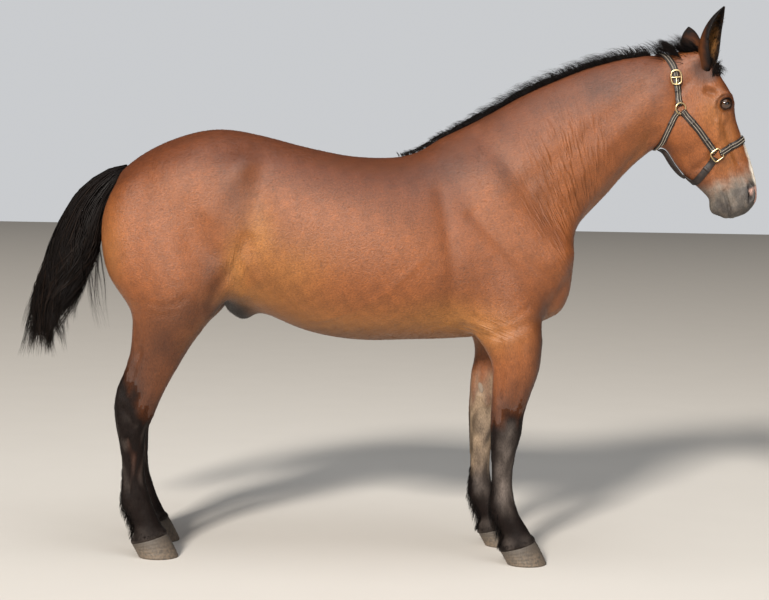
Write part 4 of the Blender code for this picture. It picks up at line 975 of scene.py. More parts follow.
def coat_colour(points, normals, look):
    """The colour of the coat or bare skin at each point, with painted shade in hollows, on faces
    turned from the light, in the nostrils, along the mouth and over the lids, and painted grey
    sheen on the lower legs.
    """
    x, y, z = points.T
    colour = np.tile(np.array(look.bay), (len(x), 1))

    def paint(other, amount):
        colour[:] = toward(colour, np.array(other), np.clip(amount, 0, 1))

    patches = mottle(points, 0.16, 3)
    fine = mottle(points, 0.035, 4)
    finest = mottle(points, 0.012, 5)
    streak = streaked(points)
    up_facing = normals[:, 2]
    paint(look.red, fade(0.1, 0.75, up_facing) * 0.9 * (x < 1.05))
    paint(look.red, 0.3 * fade(0.0, 0.8, patches))
    for centre, radii, strength in GOLD_SPOTS:
        paint(look.gold, spot(points, centre, radii) * strength * (0.85 + 0.3 * patches))
    # Painted shade in the hollows and on the faces turned from the light.
    for centre, radii, strength in PAINTED_SHADE_SPOTS:
        paint(look.umber, spot(points, centre, radii) * strength * (0.9 + 0.3 * patches))
    paint(look.gold, 0.35 * fade(0.3, 0.9, -up_facing) * (z > 0.8) * (x < 1.0))
    down, up = head_places(points)
    head = (x > 1.0) & (down > -0.02)

    # Black points, with dust on them, and painted grey sheen on the fetlock joints and over the
    # coronets.
    for mine, rise, behind, hind in leg_marks(points):
        inner = fade(0.1, -0.5, normals[:, 1] * np.sign(y))
        paint(look.umber, mine * 0.8 * fade(0.2, 0.02, rise))
        paint(look.black, mine * fade(0.04, -0.045, rise) * 0.97)
        if hind:
            brown = fade(0.26, 0.42, z) * fade(0.5, 0.44, z)
            side = fade(0.45, 0.05, np.abs(behind + 0.1))
            paint(look.red, mine * brown * side * np.clip(0.1 + 0.28 * streak, 0, 1))
            paint(look.grey, mine * fade(0.58, 0.5, z) * fade(0.16, 0.34, z)
                  * np.clip(0.02 + 0.2 * streak, 0, 1))
        else:
            # Grey down the front of the fore legs: dust on the cannons, and painted sheen on the
            # fetlock joints.
            dust = fade(0.58, 0.5, z) * fade(0.16, 0.27, z)
            middle = fade(0.6, 0.15, np.abs(behind + 0.05))
            paint(look.grey, mine * dust * middle * np.clip(0.62 + 0.3 * streak, 0, 1))
            paint(look.sand, mine * inner * fade(0.26, 0.36, z) * fade(0.74, 0.66, z)
                  * np.clip(0.42 + 0.3 * streak, 0, 1))
        # Grey just above the hooves: dust, and painted sheen on the coronets.
        paint(look.grey, mine * fade(0.135, 0.08, z) * np.clip(0.3 + 0.22 * fine, 0, 1))

    # Sheath and the bare skin between the thighs.
    between = np.exp(-((x + 0.575) / 0.095) ** 2 - (y / 0.085) ** 2) * fade(1.0, 0.95, z)
    paint(look.slate, 1.2 * between)
    paint(look.slate, 0.85 * spot(points, (-0.6, 0.955), (0.055, 0.045)))
    paint(look.slate, 0.75 * fade(0.11, 0.05, np.abs(y)) * fade(1.12, 1.02, z)
          * fade(-0.5, -0.6, x) * fade(-1.05, -0.95, x) * (z > 0.9))
    paint(look.slate, 0.8 * fade(-1.02, -1.05, x) * fade(0.05, 0.02, np.abs(y)) * fade(1.1, 1.2, z))

    # Head: dark forehead and poll, mealy muzzle, stripe and snip, dark rims, and painted shade in
    # the nostrils, along the mouth and above the upper lids.
    paint(look.red, head * 0.8 * fade(0.085, 0.125, up) * fade(0.05, 0.12, down))
    paint(look.red, head * 0.5 * fade(0.16, 0.06, down))
    for base, _, _, _ in EARS.values():
        far = np.linalg.norm(points - np.array(base), axis=1)
        paint(look.umber, 0.8 * fade(0.075, 0.036, far + 0.008 * fine))
    slope = down + 0.012 * fine + 0.008 * finest
    muzzle = fade(0.44, 0.545, slope) * head
    paint(look.mealy, muzzle * (0.92 + 0.08 * finest))
    dark = fade(-0.2, 0.8, mottle(points, 0.045, 7) + 0.5 * finest)
    paint(look.slate, muzzle * (0.42 + 0.42 * dark) * fade(0.48, 0.55, slope))
    for centre, radii in MUZZLE_SPOTS:
        paint(look.slate, muzzle * 0.75 * spot(points, centre, radii) * (0.9 + 0.4 * finest))
    paint(look.mealy, muzzle * 0.45 * spot(points, (1.25, 1.375), (0.014, 0.026)))
    # Dark along the mouth: the dark skin of the lips, and painted shade in the line between them.
    lips = head * swell(line_distance(x, z, MOUTH), 0.008) * fade(0.52, 0.56, down)
    paint(look.slate, lips * 0.6)
    # Near-black in the nostril: painted shade in its hollow, over the dark skin of the muzzle.
    lean = np.hypot((x - NOSTRIL[0]) / 0.019, (z - NOSTRIL[1]) / 0.04)
    paint(look.slate, muzzle * fade(1.5, 0.9, lean) * 0.97)
    middle = fade(0.034, 0.024, np.abs(y) + 0.004 * fine) * fade(0.03, 0.06, up)
    stripe = head * middle * fade(0.335, 0.35, down + 0.006 * finest) * fade(0.57, 0.54, down)
    paint(look.white, stripe)
    snip = (head * fade(0.058, 0.048, np.abs(y) + 0.004 * fine) * fade(0.545, 0.56, down)
            * fade(0.655, 0.635, down) * fade(0.052, 0.066, up + 0.003 * finest))
    paint(look.pink, snip * 0.92)
    for sign in (-1, 1):
        u, v, out = eye_places(points, sign)
        r = np.hypot(u, v)
        this = (out > -0.01) & (y * sign > 0)
        paint(look.umber, this * 0.55 * fade(2.6, 1.4, r + 0.2 * finest))
        # Painted shade in the fold above the upper lid.
        paint(look.umber, this * 0.3 * swell(r - 1.85, 0.28) * fade(0.2, 0.8, v))
        paint(look.black, this * 0.92 * fade(1.48, 1.22, r + 0.08 * finest))
    colour *= (1 + 0.1 * fine + 0.07 * finest)[:, None]
    return np.clip(colour, 0, 1)


def gloss_of(points):
    """How polished the coat is: most on the body, least on the legs and muzzle."""
    x, _, z = points.T
    down, _ = head_places(points)
    legs = fade(0.45, 0.8, z)
    muzzle = 1 - 0.8 * fade(0.42, 0.52, down) * (x > 1.1)
    return np.clip(legs * muzzle, 0, 1)


def body_lie(points, normals):
    """The way the coat lies at each point."""
    x, _, z = points.T
    way = toward(np.array((-0.95, 0.0, -0.45)), np.array((-0.75, 0.0, -0.7)),
                 fade(0.45, 0.75, x))
    way = toward(way, np.array((-0.12, 0.0, -1.0)), fade(1.0, 0.8, z))
    way = toward(way, np.array(head_point(1, 0) - head_point(0, 0)), fade(1.02, 1.12, x))
    return along_skin(way, normals)


def unwrap(points):
    """A place on the flat for each point: down its own part, and round it."""
    x, y, z = points.T
    spine = [(-1.05, 1.36)] + [(row[0], row[3]) for row in TRUNK[1:9]]
    spine += [(row[0], row[1]) for row in NECK[1:]]
    spine += [tuple(head_point(down, 0))[::2] for down in (0.15, 0.35, 0.64)]
    _, along, high = line_places(x, z, spine)
    around = np.arctan2(y, high) / (2 * math.pi) + 0.5
    flat = np.stack([0.01 + 0.98 * along, 0.51 + 0.48 * around], 1)
    legs = [(rows, stagger, ahead, sign)
            for ahead, rows, stagger, _ in LEG_PAIRS for sign in (-1, 1)]
    for number, (rows, stagger, ahead, sign) in enumerate(legs):
        mine = (z < 0.88) & (np.abs(y) > 0.05) & (x * ahead > 0) & (y * sign > 0)
        front = leg_front(points[mine], rows, stagger)
        turn = np.arctan2(front, np.abs(y[mine]) - 0.17) / (2 * math.pi) + 0.5
        flat[mine, 0] = 0.01 + 0.235 * turn + 0.25 * number
        flat[mine, 1] = 0.01 + 0.47 * z[mine] / 0.88
    return flat


# Hair: how many strands grow on the poll, behind each fetlock, over each hoof, round each
# ear, in each ear and on each upper lid, and how the tail is parted.
POLL_HAIRS = 2600
FETLOCK_HAIRS = 1000
FRINGE_HAIRS = 300
EAR_BASE_HAIRS = 1200
EAR_CUP_HAIRS = 420
LASHES = 46
TAIL_LOCKS = 58
TAIL_WISPS = 130
# How far above the skin a ray starts that looks for the poll, and how far it reaches.
POLL_RAY = (0.25, 0.32)


def strand_shape(steps, sides):
    """Faces of one closed strand, and the row and side of each of its points."""
    made = bmesh.new()
    turns = np.arange(sides) * 2 * math.pi / sides
    rings = [[(math.cos(t), math.sin(t), row * 3.0) for t in turns] for row in range(steps)]
    rolled(made, rings)
    rows, places = [], []
    for vert in made.verts:
        rows.append(round(vert.co.z / 3.0))
        places.append(round(math.atan2(vert.co.y, vert.co.x) / (2 * math.pi / sides)) % sides)
    made.verts.index_update()
    faces = [[vert.index for vert in face.verts] for face in made.faces]
    made.free()
    return faces, np.array(rows), np.array(places)


def strands(name, paths, widths, flats, homes, shades, sides=3, thick=0.45):
    """One mesh of many tapered strands.

    Paths hold the points down each strand, widths their half widths, flats the way its flat
    side faces, homes its root's place on the flat and shades a number from 0 to 1.
    """
    count, steps = paths.shape[:2]
    faces, rows, places = strand_shape(steps, sides)
    along = unit(np.gradient(paths, axis=1))
    across = unit(np.cross(flats, along))
    out = np.cross(along, across)
    turns = places * 2 * math.pi / sides
    points = (
        paths[:, rows]
        + across[:, rows] * (np.cos(turns) * widths[:, rows])[..., None]
        + out[:, rows] * (np.sin(turns) * thick * widths[:, rows])[..., None]
    )
    size = len(rows)
    flat_faces = np.concatenate(faces)
    sizes = np.array([len(face) for face in faces])
    loops = (flat_faces[None] + (np.arange(count) * size)[:, None]).ravel()
    starts = np.concatenate([[0], np.cumsum(np.tile(sizes, count))[:-1]])
    mesh = bpy.data.meshes.new(name)
    mesh.vertices.add(count * size)
    mesh.vertices.foreach_set("co", points.ravel())
    mesh.loops.add(len(loops))
    mesh.loops.foreach_set("vertex_index", loops)
    mesh.polygons.add(len(starts))
    mesh.polygons.foreach_set("loop_start", starts)
    mesh.update(calc_edges=True)
    flat = homes[:, None] + 0.003 * np.stack([rows / (steps - 1), places / sides], 1)[None]
    bake = mesh.uv_layers.new(name="OFBake")
    bake.uv.foreach_set("vector", flat.reshape(-1, 2)[loops].ravel())
    keep(mesh, "shade", np.repeat(shades, size))
    keep(mesh, "share", np.tile(rows / (steps - 1), count))
    return mesh


def keep(mesh, name, values):
    """Keeps a number, a vector or a colour for each point of the mesh."""
    values = np.asarray(values, float)
    kind, field = {1: ("FLOAT", "value"), 3: ("FLOAT_VECTOR", "vector"),
                   4: ("FLOAT_COLOR", "color")}[values.size // len(values)]
    mesh.attributes.new(name, kind, "POINT").data.foreach_set(field, values.ravel())


def paint_points(mesh, colours):
    """Keeps the coat's colour for each point of the mesh."""
    keep(mesh, "coat", np.insert(colours, 3, 1.0, axis=1))


def taper(steps, root=0.6, tip=0.05, power=2.0):
    """Half widths down a strand, as shares of its widest."""
    share = np.linspace(0, 1, steps)
    swollen = root + (1 - root) * np.clip(share / 0.25, 0, 1)
    return swollen * (tip + (1 - tip) * (1 - share**power))


def dropped(tree, roots, ways, lengths, steps, weight, lift, sink=0.006, bend=None):
    """Strands that leave the skin one way and fall, kept above the skin."""
    count = len(roots)
    paths = np.empty((count, steps, 3))
    flats = np.empty((count, steps, 3))
    here = roots - unit(ways) * sink
    way = unit(ways)
    stride = (lengths / (steps - 1))[:, None]
    for k in range(steps):
        if k:
            pull = np.array((0.0, 0.0, -1.0)) if bend is None else bend(here)
            way = unit(way + pull * weight)
            here = here + way * stride
        for i in range(count):
            spot_at, normal, _, _ = tree.find_nearest(here[i])
            height = (Vector(here[i]) - spot_at).dot(normal)
            if k and height < lift[i]:
                here[i] = np.array(spot_at + normal * lift[i])
            flats[i, k] = normal
        if k:
            way = unit(here - paths[:, k - 1])
        paths[:, k] = here
    return paths, flats


def crest_points(tree, xs):
    """The top of the neck and its way up at each x."""
    tops, ups = [], []
    for x in xs:
        low, high = (struck(tree, (x + step, 0, 3), (0, 0, -1))[0] for step in (-0.01, 0.01))
        along = (high - low).normalized()
        tops.append((low + high) / 2)
        ups.append((-along.z, 0, along.x))
    return np.array(tops), np.array(ups)


def mane_mesh(tree, count):
    """Hair that stands up from the crest and falls over to the left."""
    draw = np.random.default_rng(11)
    share = np.sort(draw.random(count))
    xs = 0.04 + 0.975 * share ** 0.8
    tops, ups = crest_points(tree, xs)
    full = fade(0.06, 0.55, xs)
    short = draw.random(count) < 0.5
    lengths = np.interp(xs, (0.06, 0.3, 0.42, 0.6, 0.85, 1.02),
                        (0.03, 0.1, 0.22, 0.28, 0.29, 0.22))
    lock = np.sin(xs * 70) * 0.5 + np.sin(xs * 173 + 1.0) * 0.5
    lengths = lengths * draw.uniform(0.55, 1.0, count) * (1 + 0.12 * lock)
    stubble = draw.uniform(0.04, 0.098, count) * (0.3 + 0.7 * full) * (1 + 0.18 * lock)
    lengths = np.where(short, stubble, lengths)
    across = draw.uniform(-0.015, 0.016, count) * (0.35 + 0.65 * full)
    roots = tops + np.stack([np.zeros(count), across, -np.abs(across) * 0.35], 1)
    lean = draw.normal(size=(count, 3)) * np.where(short, 0.3, 0.17)[:, None]
    ways = ups * (0.8 + 0.55 * full)[:, None] + lean
    ways[:, 1] += np.where(short, 0.2, 0.5) + across * 14 + 0.2 * (1 - full)
    ways[:, 0] -= 0.75 * short + 0.7 * (1 - full) + 0.2 * lock
    lift = draw.uniform(0.003, 0.012, count) + 0.006 * full

    def fall(here):
        """Down and outwards to the left, in slow waves."""
        wave = 0.55 * np.sin(here[:, 0] * 23 + here[:, 2] * 9)
        side = fade(0.16, 0.02, here[:, 1])
        return np.stack([-0.25 + wave * 0.5, side * 1.1, -1.0 * np.ones(len(here))], 1)

    weight = np.where(short, 0.16, 0.46)[:, None]
    paths, flats = dropped(tree, roots, ways, lengths, 9, weight, lift, bend=fall)
    widths = 0.0022 * draw.uniform(0.6, 1.2, count)[:, None] * taper(9)[None]
    widths = widths * np.where(short, 0.42, 1.0)[:, None]
    homes = np.stack([0.02 + 0.95 * (xs - 0.04) / 0.975, 0.5 + across * 28], 1)
    return strands("mane", paths, widths, flats, homes, draw.random(count))


def forelock_mesh(tree):
    """Short dark hair forward on the forehead, and smooth hair laid back over the poll."""
    draw = np.random.default_rng(12)
    count = POLL_HAIRS
    behind = draw.random(count) < 0.55
    across = draw.normal(size=count) * np.where(behind, 0.026, 0.023) - 0.022 * behind
    downs = np.where(behind, draw.uniform(-0.105, 0.005, count), draw.uniform(-0.02, 0.08, count))
    roots, ways = [], []
    for down, out in zip(downs, across):
        start = head_point(down, POLL_RAY[0], out)
        spot_at, normal = struck(tree, start, head_point(0, -1) - head_point(0, 0), POLL_RAY[1])
        if spot_at is None:
            spot_at, normal, _, _ = tree.find_nearest(head_point(down, 0, out))
        roots.append(spot_at)
        ways.append(normal)
    roots, ways = np.array(roots), np.array(ways)
    forward = np.array(head_point(1, 0) - head_point(0, 0))
    ways = ways * np.where(behind, 0.55, 0.85)[:, None] + draw.normal(size=(count, 3)) * 0.22
    ways += forward * np.where(behind, 0, 0.7)[:, None]
    ways[:, 0] -= 0.95 * behind
    lengths = np.where(behind, draw.uniform(0.045, 0.085, count), draw.uniform(0.026, 0.06, count))
    lift = np.where(behind, draw.uniform(0.004, 0.03, count), draw.uniform(0.001, 0.018, count))
    pull = np.where(behind[:, None], (-1.0, 0.0, -0.3), forward * 0.8 + np.array((0.05, 0, -0.6)))
    paths, flats = dropped(tree, roots, ways, lengths, 5, 0.2, lift, bend=lambda here: pull)
    widths = 0.0013 * draw.uniform(0.6, 1.2, count)[:, None] * taper(5)[None]
    homes = np.stack([0.05 + 0.9 * fade(-0.08, 0.09, downs),
                      np.clip(0.5 + across * 5, 0.02, 0.97)], 1)
    return strands("forelock", paths, widths, flats, homes, draw.random(count))


# Halves of the tail: name, and ranges of shares for where its strands start down the line,
# how far out they lie and how far out their locks end.
TAIL_HALVES = (
    ("tail_outer", (0.0, 0.14), (0.8, 1.0), (0.74, 1.0)),
    ("tail_inner", (0.0, 0.4), (0.1, 0.8), (0.1, 0.75)),
)


def tail_meshes(count):
    """The tail's hair in an outer and an inner half: locks hung round its line that part,
    wave and curl at their ends, and thin wisps in front."""
    line = spline([(x, 0, z, deep, wide) for x, z, deep, wide in TAIL], 60)[:, [0, 2, 3, 4]]
    line = np.concatenate([line, unit(np.gradient(line[:, :2], axis=0))], 1)
    steps = 12
    pace = np.linspace(0, 1, steps)[None]
    for half, (name, starts, spreads, ends) in enumerate(TAIL_HALVES):
        draw = np.random.default_rng(21 + half)
        lock = draw.integers(0, TAIL_LOCKS, count)
        turn = draw.uniform(0, 2 * math.pi, TAIL_LOCKS)
        end = 1.0 - 0.26 * draw.random(TAIL_LOCKS) ** 1.3
        bend, phase = draw.normal(size=TAIL_LOCKS), draw.normal(size=TAIL_LOCKS)
        out = draw.uniform(*ends, TAIL_LOCKS)
        end = end * np.where(np.cos(turn) > 0.35, draw.uniform(0.66, 0.9, TAIL_LOCKS), 1)
        turn, end, bend, phase, out = (each[lock][:, None]
                                       for each in (turn, end, bend, phase, out))
        turns = draw.uniform(0, 2 * math.pi, (count, 1))
        first = draw.uniform(*starts, (count, 1))
        last = end * draw.uniform(0.88, 1.0, (count, 1))
        shares = first + (last - first) * pace
        places = np.clip(shares, 0, 1) * (len(line) - 1)
        x, z, deep, wide, way_x, way_z = np.moveaxis(
            read_along(line, np.arange(len(line)), places), -1, 0)
        gather = fade(0.42, 0.95, shares / end)
        apart = (turn - turns + math.pi) % (2 * math.pi) - math.pi
        angle = turns + apart * gather * 0.93 + 0.12 * np.sin(shares * 12 + phase * 2) * shares
        reach = draw.uniform(*spreads, (count, 1)) * (1 - gather) + out * gather
        reach = reach * (0.6 + 0.4 * fade(0.0, 0.2, shares - first + 0.02))
        deep, wide = np.cos(angle) * deep * reach, np.sin(angle) * wide * reach
        loose = pace ** 3 * draw.normal(size=(count, 1)) * 0.0045
        curl = 0.04 * fade(0.72, 1.0, shares / last) ** 1.5 * fade(0.7, 0.95, last)
        curl = curl * np.clip(0.5 + 0.5 * bend, -0.7, 1.4)
        sway = 0.014 * np.sin(shares * 7 + phase * 3) * shares
        paths = np.stack([
            x - way_z * deep + curl + sway + loose,
            wide + 0.01 * np.sin(shares * 9 + bend * 3) * shares + loose,
            z + way_x * deep + 0.45 * np.abs(curl),
        ], 2)
        thin = min(TAIL_WISPS, count) if half else 0
        if thin:
            fall = draw.uniform(0.6, 1.0, count)[:thin, None] * pace
            middle = np.interp(fall, (0, 0.25, 0.55, 0.8, 1.0),
                               (-1.095, -1.13, -1.135, -1.125, -1.105))
            group = draw.integers(0, 7, thin)
            aside = draw.normal(size=(7, 2))[group]
            drift = (aside[:, :1] * 0.02 * fall + draw.normal(size=(thin, 1)) * 0.006 * fall
                     + 0.008 * np.sin(fall * 8 + group[:, None]))
            paths[:thin] = np.stack([middle + drift, aside[:, 1:] * 0.022 + drift * 0.5,
                                     1.4 - fall * 0.55], 2)
        flats = unit(paths - np.stack([x, np.zeros_like(x), z], 2) + 1e-5)
        widths = 0.0034 * draw.uniform(0.5, 1.2, count)[:, None] * taper(steps, 0.5)[None]
        widths[:thin] *= 0.4
        homes = np.concatenate([0.02 + 0.94 * turns / (2 * math.pi),
                                0.05 + 0.88 * first / 0.42], 1)
        yield strands(name, paths, widths, flats, homes, draw.random(count))


# Backs of the fetlocks: x, out, level, how long the hair is, and the hoof below.
FETLOCKS = (
    (0.418, -0.172, 0.182, 1.3, "fore_hoof_right"),
    (0.352, 0.172, 0.182, 1.3, "fore_hoof_left"),
    (-0.998, -0.156, 0.205, 1.1, "hind_hoof_right"),
    (-1.03, 0.156, 0.205, 1.1, "hind_hoof_left"),
)


def fetlock_mesh(tree):
    """Hair behind each fetlock, up the back of the tendons, and a fringe over each hoof."""
    draw = np.random.default_rng(31)
    all_roots, all_ways, all_lengths = [], [], []
    for x, out, level, long, hoof in FETLOCKS:
        count = FETLOCK_HAIRS
        rise = draw.random(count) ** 1.4
        turn = draw.normal(size=count) * (0.8 - 0.55 * rise)
        high = level - 0.112 + 0.247 * rise
        back = np.stack([-np.cos(turn), np.sin(turn), np.zeros(count)], 1)
        start = np.stack([np.full(count, x + 0.055), np.full(count, out), high], 1) + back * 0.1
        for place, way, tall, side in zip(start, back, rise, turn):
            spot_at, normal = struck(tree, place, -way)
            if spot_at is None or (spot_at - Vector(place)).length > 0.12:
                continue
            all_roots.append(spot_at)
            all_ways.append(normal * (0.5 - 0.42 * tall) + Vector((-0.06, 0, -0.85)))
            short = 1 - 0.55 * min(1, abs(side) / 1.1)
            full = max(0.016, 0.074 - 0.085 * tall) * long
            full = min(full, 0.6 * (spot_at.z - 0.022))
            all_lengths.append(full * short * draw.uniform(0.55, 1.15))
        middle, _, half, wide, toe, heel = HOOVES[hoof]
        middle = middle - TOE_SLOPE * (toe + heel) / 2
        for turn in draw.uniform(0, 2 * math.pi, FRINGE_HAIRS):
            way = Vector((math.cos(turn), math.sin(turn), 0))
            top = heel + (toe - heel) * (0.5 + 0.4 * way.x)
            place = Vector((middle + way.x * half * 1.5, out + way.y * wide * 1.5,
                            top + draw.uniform(-0.002, 0.01)))
            spot_at, normal = struck(tree, place, -way)
            if spot_at is not None and (spot_at - place).length < 0.09:
                all_roots.append(spot_at)
                all_ways.append(normal * 0.22 + Vector((0, 0, -0.8)))
                all_lengths.append(draw.uniform(0.006, 0.014))
    roots, ways = np.array(all_roots), np.array(all_ways)
    count = len(roots)
    ways += draw.normal(size=ways.shape) * 0.09
    lengths = np.array(all_lengths)
    lift = draw.uniform(0.0004, 0.005, count) * np.clip(lengths / 0.04, 0.1, 1)
    paths, flats = dropped(tree, roots, ways, lengths, 6, 0.26, lift, sink=0.003)
    widths = 0.0013 * draw.uniform(0.6, 1.3, count)[:, None] * taper(6)[None]
    widths = widths * np.clip(lengths / 0.03, 0.45, 1)[:, None]
    return strands("fetlock_hair", paths, widths, flats, unwrap(roots), draw.random(count))


def tuft_weight(points, normals):
    """Where short tufts break the form: along edges that show against the ground."""
    x, _, z = points.T
    down, up = head_places(points)
    edge = 1 - np.abs(normals[:, 1])
    weight = 0.25 + 1.6 * edge
    weight += 2.5 * fade(0.93, 0.86, z) * (z > 0.8) * fade(0.2, 0.9, -normals[:, 2])
    weight += 2.0 * (z < 0.6) * fade(0.2, 0.9, -normals[:, 0])
    weight += 2.0 * (x > 1.1) * fade(-0.05, -0.14, up)
    weight += 3.0 * (np.abs(down - 0.06) < 0.05) * (up > 0.05)
    weight *= np.where((x > 1.28) & (down > 0.42), 0.35, 1.0)
    return weight


def coat_meshes(points, normals, faces, count, look):
    """Short tufts that lie along the coat and just break its surface, in three pieces."""
    draw = np.random.default_rng(41)
    corners = points[faces]
    area = np.linalg.norm(np.cross(corners[:, 1] - corners[:, 0], corners[:, 2] - corners[:, 0]),
                          axis=1)
    middles = corners.mean(axis=1)
    facing = unit(normals[faces].mean(axis=1))
    chance = area * tuft_weight(middles, facing)
    picked = draw.choice(len(faces), count, p=chance / chance.sum())
    spots = draw.dirichlet((1, 1, 1), count)[:, :, None]
    roots = (corners[picked] * spots).sum(axis=1)
    ways = facing[picked]
    free = ~near_eyes(roots, 1.7)
    free &= ~((roots[:, 0] > 1.35) & (np.hypot(roots[:, 0] - NOSTRIL[0],
                                               roots[:, 2] - NOSTRIL[1]) < 0.035))
    roots, ways = roots[free], ways[free]
    count = len(roots)
    lie = body_lie(roots, ways) + draw.normal(size=(count, 3)) * 0.12
    lie = along_skin(lie, ways)
    down, _ = head_places(roots)
    size = np.where((roots[:, 0] > 1.05) & (down > 0), 0.007, 0.012)
    size = size * draw.uniform(0.7, 1.25, count)
    size = np.where(roots[:, 2] < 0.2, size * 0.7, size)
    steps = 3
    share = np.linspace(0, 1, steps)
    rise = (-0.0009 + 0.0026 * share ** 1.2)[None, :, None] * draw.uniform(0.6, 1.2, (count, 1, 1))
    paths = roots[:, None] + lie[:, None] * size[:, None, None] * share[None, :, None]
    paths = paths + ways[:, None] * rise
    flats = np.repeat(ways[:, None], steps, 1)
    widths = (size * 0.075)[:, None] * np.array((0.9, 0.8, 0.06))[None]
    colours = np.clip(coat_colour(roots, ways, look) * draw.uniform(0.93, 1.09, (count, 1)), 0, 1)
    homes, gloss, shades = unwrap(roots), gloss_of(roots), draw.random(count)
    black = is_black(roots).astype(np.int32)
    order = np.argsort(roots[:, 0])
    for number, mine in enumerate(np.array_split(order, 3)):
        mesh = strands(f"short_coat_{number + 1}", paths[mine], widths[mine], flats[mine],
                       homes[mine], shades[mine], thick=0.3)
        paint_points(mesh, np.repeat(colours[mine], steps * 3, axis=0))
        keep(mesh, "gloss", np.repeat(gloss[mine], steps * 3))
        faces_each = len(mesh.polygons) // len(mine)
        mesh.polygons.foreach_set("material_index", np.repeat(black[mine], faces_each))
        yield mesh


# Ears, eyes and hooves


def ear_frame(base, tip, faces):
    """An ear's base, its length as a vector, and the ways up, forward and sideways."""
    base, axis = Vector(base), Vector(tip) - Vector(base)
    way, front = axis.normalized(), Vector(faces)
    front = (front - way * front.dot(way)).normalized()
    return base, axis, way, front, way.cross(front)


def ear_mesh(base, tip, faces, radius, rows=38, across=17):
    """A cupped leaf with a thin wall, with each point's share up the ear, how far inside the cup it
    lies and how near the rim.
    """
    base, axis, way, front, side = ear_frame(base, tip, faces)
    table = spline([(share * 0.24, size * 0.043, half / 1000, wall * 2)
                    for share, size, half, wall in EAR_ROWS], rows)
    inwards = Vector((0, -math.copysign(1, base.y), 0))
    rings = []
    for down, wide, half, wall in table:
        share = down / 0.24
        bend = -front * 0.012 * math.sin(math.pi * min(1, max(0, share)))
        middle = base + axis * share + bend + inwards * max(0, -share) * 0.12
        reach = radius * wide / 0.043
        ring = []
        for inner, order in ((0, 1), (1, -1)):
            for k in range(across)[::order]:
                edge = 2 * k / (across - 1) - 1
                turn = math.radians(half * 1000) * edge
                thick = wall / 2 * (1 - 0.55 * abs(edge) ** 4)
                far = reach - thick * inner
                ring.append(middle - front * math.cos(turn) * far + side * math.sin(turn) * far)
        rings.append(ring)
    made = bmesh.new()
    rolled(made, rings)
    mesh = as_mesh(made, "ear")
    points = coordinates(mesh)
    offset = points - np.array(base)
    share = offset @ np.array(way) / axis.length
    around = np.arctan2(offset @ np.array(side), -(offset @ np.array(front)) - 0.012)
    ring_radius = column_at(EAR_ROWS, 1, 0, share) * radius
    half = np.radians(column_at(EAR_ROWS, 2, 0, share))
    flat = offset - np.outer(offset @ np.array(way), way)
    flat = flat + np.array(front) * (0.012 * np.sin(math.pi * np.clip(share, 0, 1)))[:, None]
    inner = fade(0.9995, 0.93, np.linalg.norm(flat, axis=1) / ring_radius)
    rim = fade(0.62, 0.98, np.abs(around) / half)
    return mesh, share, inner, rim


def ear_hair_mesh(tree):
    """Soft hair round the base of each ear, and from the inside and edges of its cup."""
    draw = np.random.default_rng(51)
    roots, ways, lengths = [], [], []
    for base, tip, faces, radius in EARS.values():
        base, length, axis, front, side = ear_frame(base, tip, faces)
        for turn, far in zip(draw.uniform(0, 2 * math.pi, EAR_BASE_HAIRS),
                             draw.uniform(0.4, 1.9, EAR_BASE_HAIRS)):
            way = front * math.cos(turn) + side * math.sin(turn)
            spot_at, normal, _, _ = tree.find_nearest(base + way * 0.03 * far - axis * 0.012)
            if spot_at.x < base.x - 0.008 or (spot_at.z < base.z and spot_at.x < base.x + 0.02):
                continue
            roots.append(spot_at)
            ways.append(axis * 1.5 + normal * 0.15 + way * 0.1 + Vector((0.15, 0, 0)))
            lengths.append(draw.uniform(0.02, 0.066) * (1.3 - 0.55 * far))
        for share, edge in zip(draw.uniform(0.02, 0.8, EAR_CUP_HAIRS),
                               draw.uniform(-1, 1, EAR_CUP_HAIRS)):
            wide, half = (column_at(EAR_ROWS, column, 0, share) for column in (1, 2))
            turn = math.radians(half) * math.copysign(abs(edge) ** 0.5, edge)
            out = -front * math.cos(turn) + side * math.sin(turn)
            bend = -front * 0.012 * math.sin(math.pi * share)
            roots.append(base + length * share + bend + out * (radius * wide - 0.004))
            ways.append(axis * 0.8 - out * 0.45 + front * 0.35)
            lengths.append(draw.uniform(0.012, 0.03))
    roots, ways = np.array(roots), unit(np.array(ways))
    ways = unit(ways + draw.normal(size=ways.shape) * 0.22)
    steps = 5
    pace = np.linspace(0, 1, steps)[None, :, None]
    length = np.array(lengths)[:, None, None]
    sag = np.array((0.3, 0.0, -0.5))
    paths = (roots - ways * 0.003)[:, None] + (ways[:, None] * pace + sag * 0.35 * pace**2) * length
    flats = unit(np.cross(ways, draw.normal(size=ways.shape)))
    flats = np.repeat(flats[:, None], steps, 1)
    widths = 0.001 * draw.uniform(0.6, 1.2, len(roots))[:, None] * taper(steps)[None]
    return strands("ear_hair", paths, widths, flats, unwrap(roots), draw.random(len(roots)))


def eye_mesh(sign):
    """The eyeball with a slightly bulging front, and each point's place in the eye's frame."""
    centre, outward, along, over = eye_frame(sign)
    made = bmesh.new()
    ball(made, centre, (EYE_RADIUS,) * 3, segments=48)
    mesh = as_mesh(made, "eye")
    points = coordinates(mesh)
    offset = points - np.array(centre)
    out = offset @ np.array(outward)
    bulge = 0.001 * fade(0.016, 0.0245, out)
    move_to(mesh, points + unit(offset) * bulge[:, None])
    place = np.stack([offset @ np.array(along), offset @ np.array(over), out], 1) / EYE_RADIUS
    keep(mesh, "gaze", place)
    return mesh


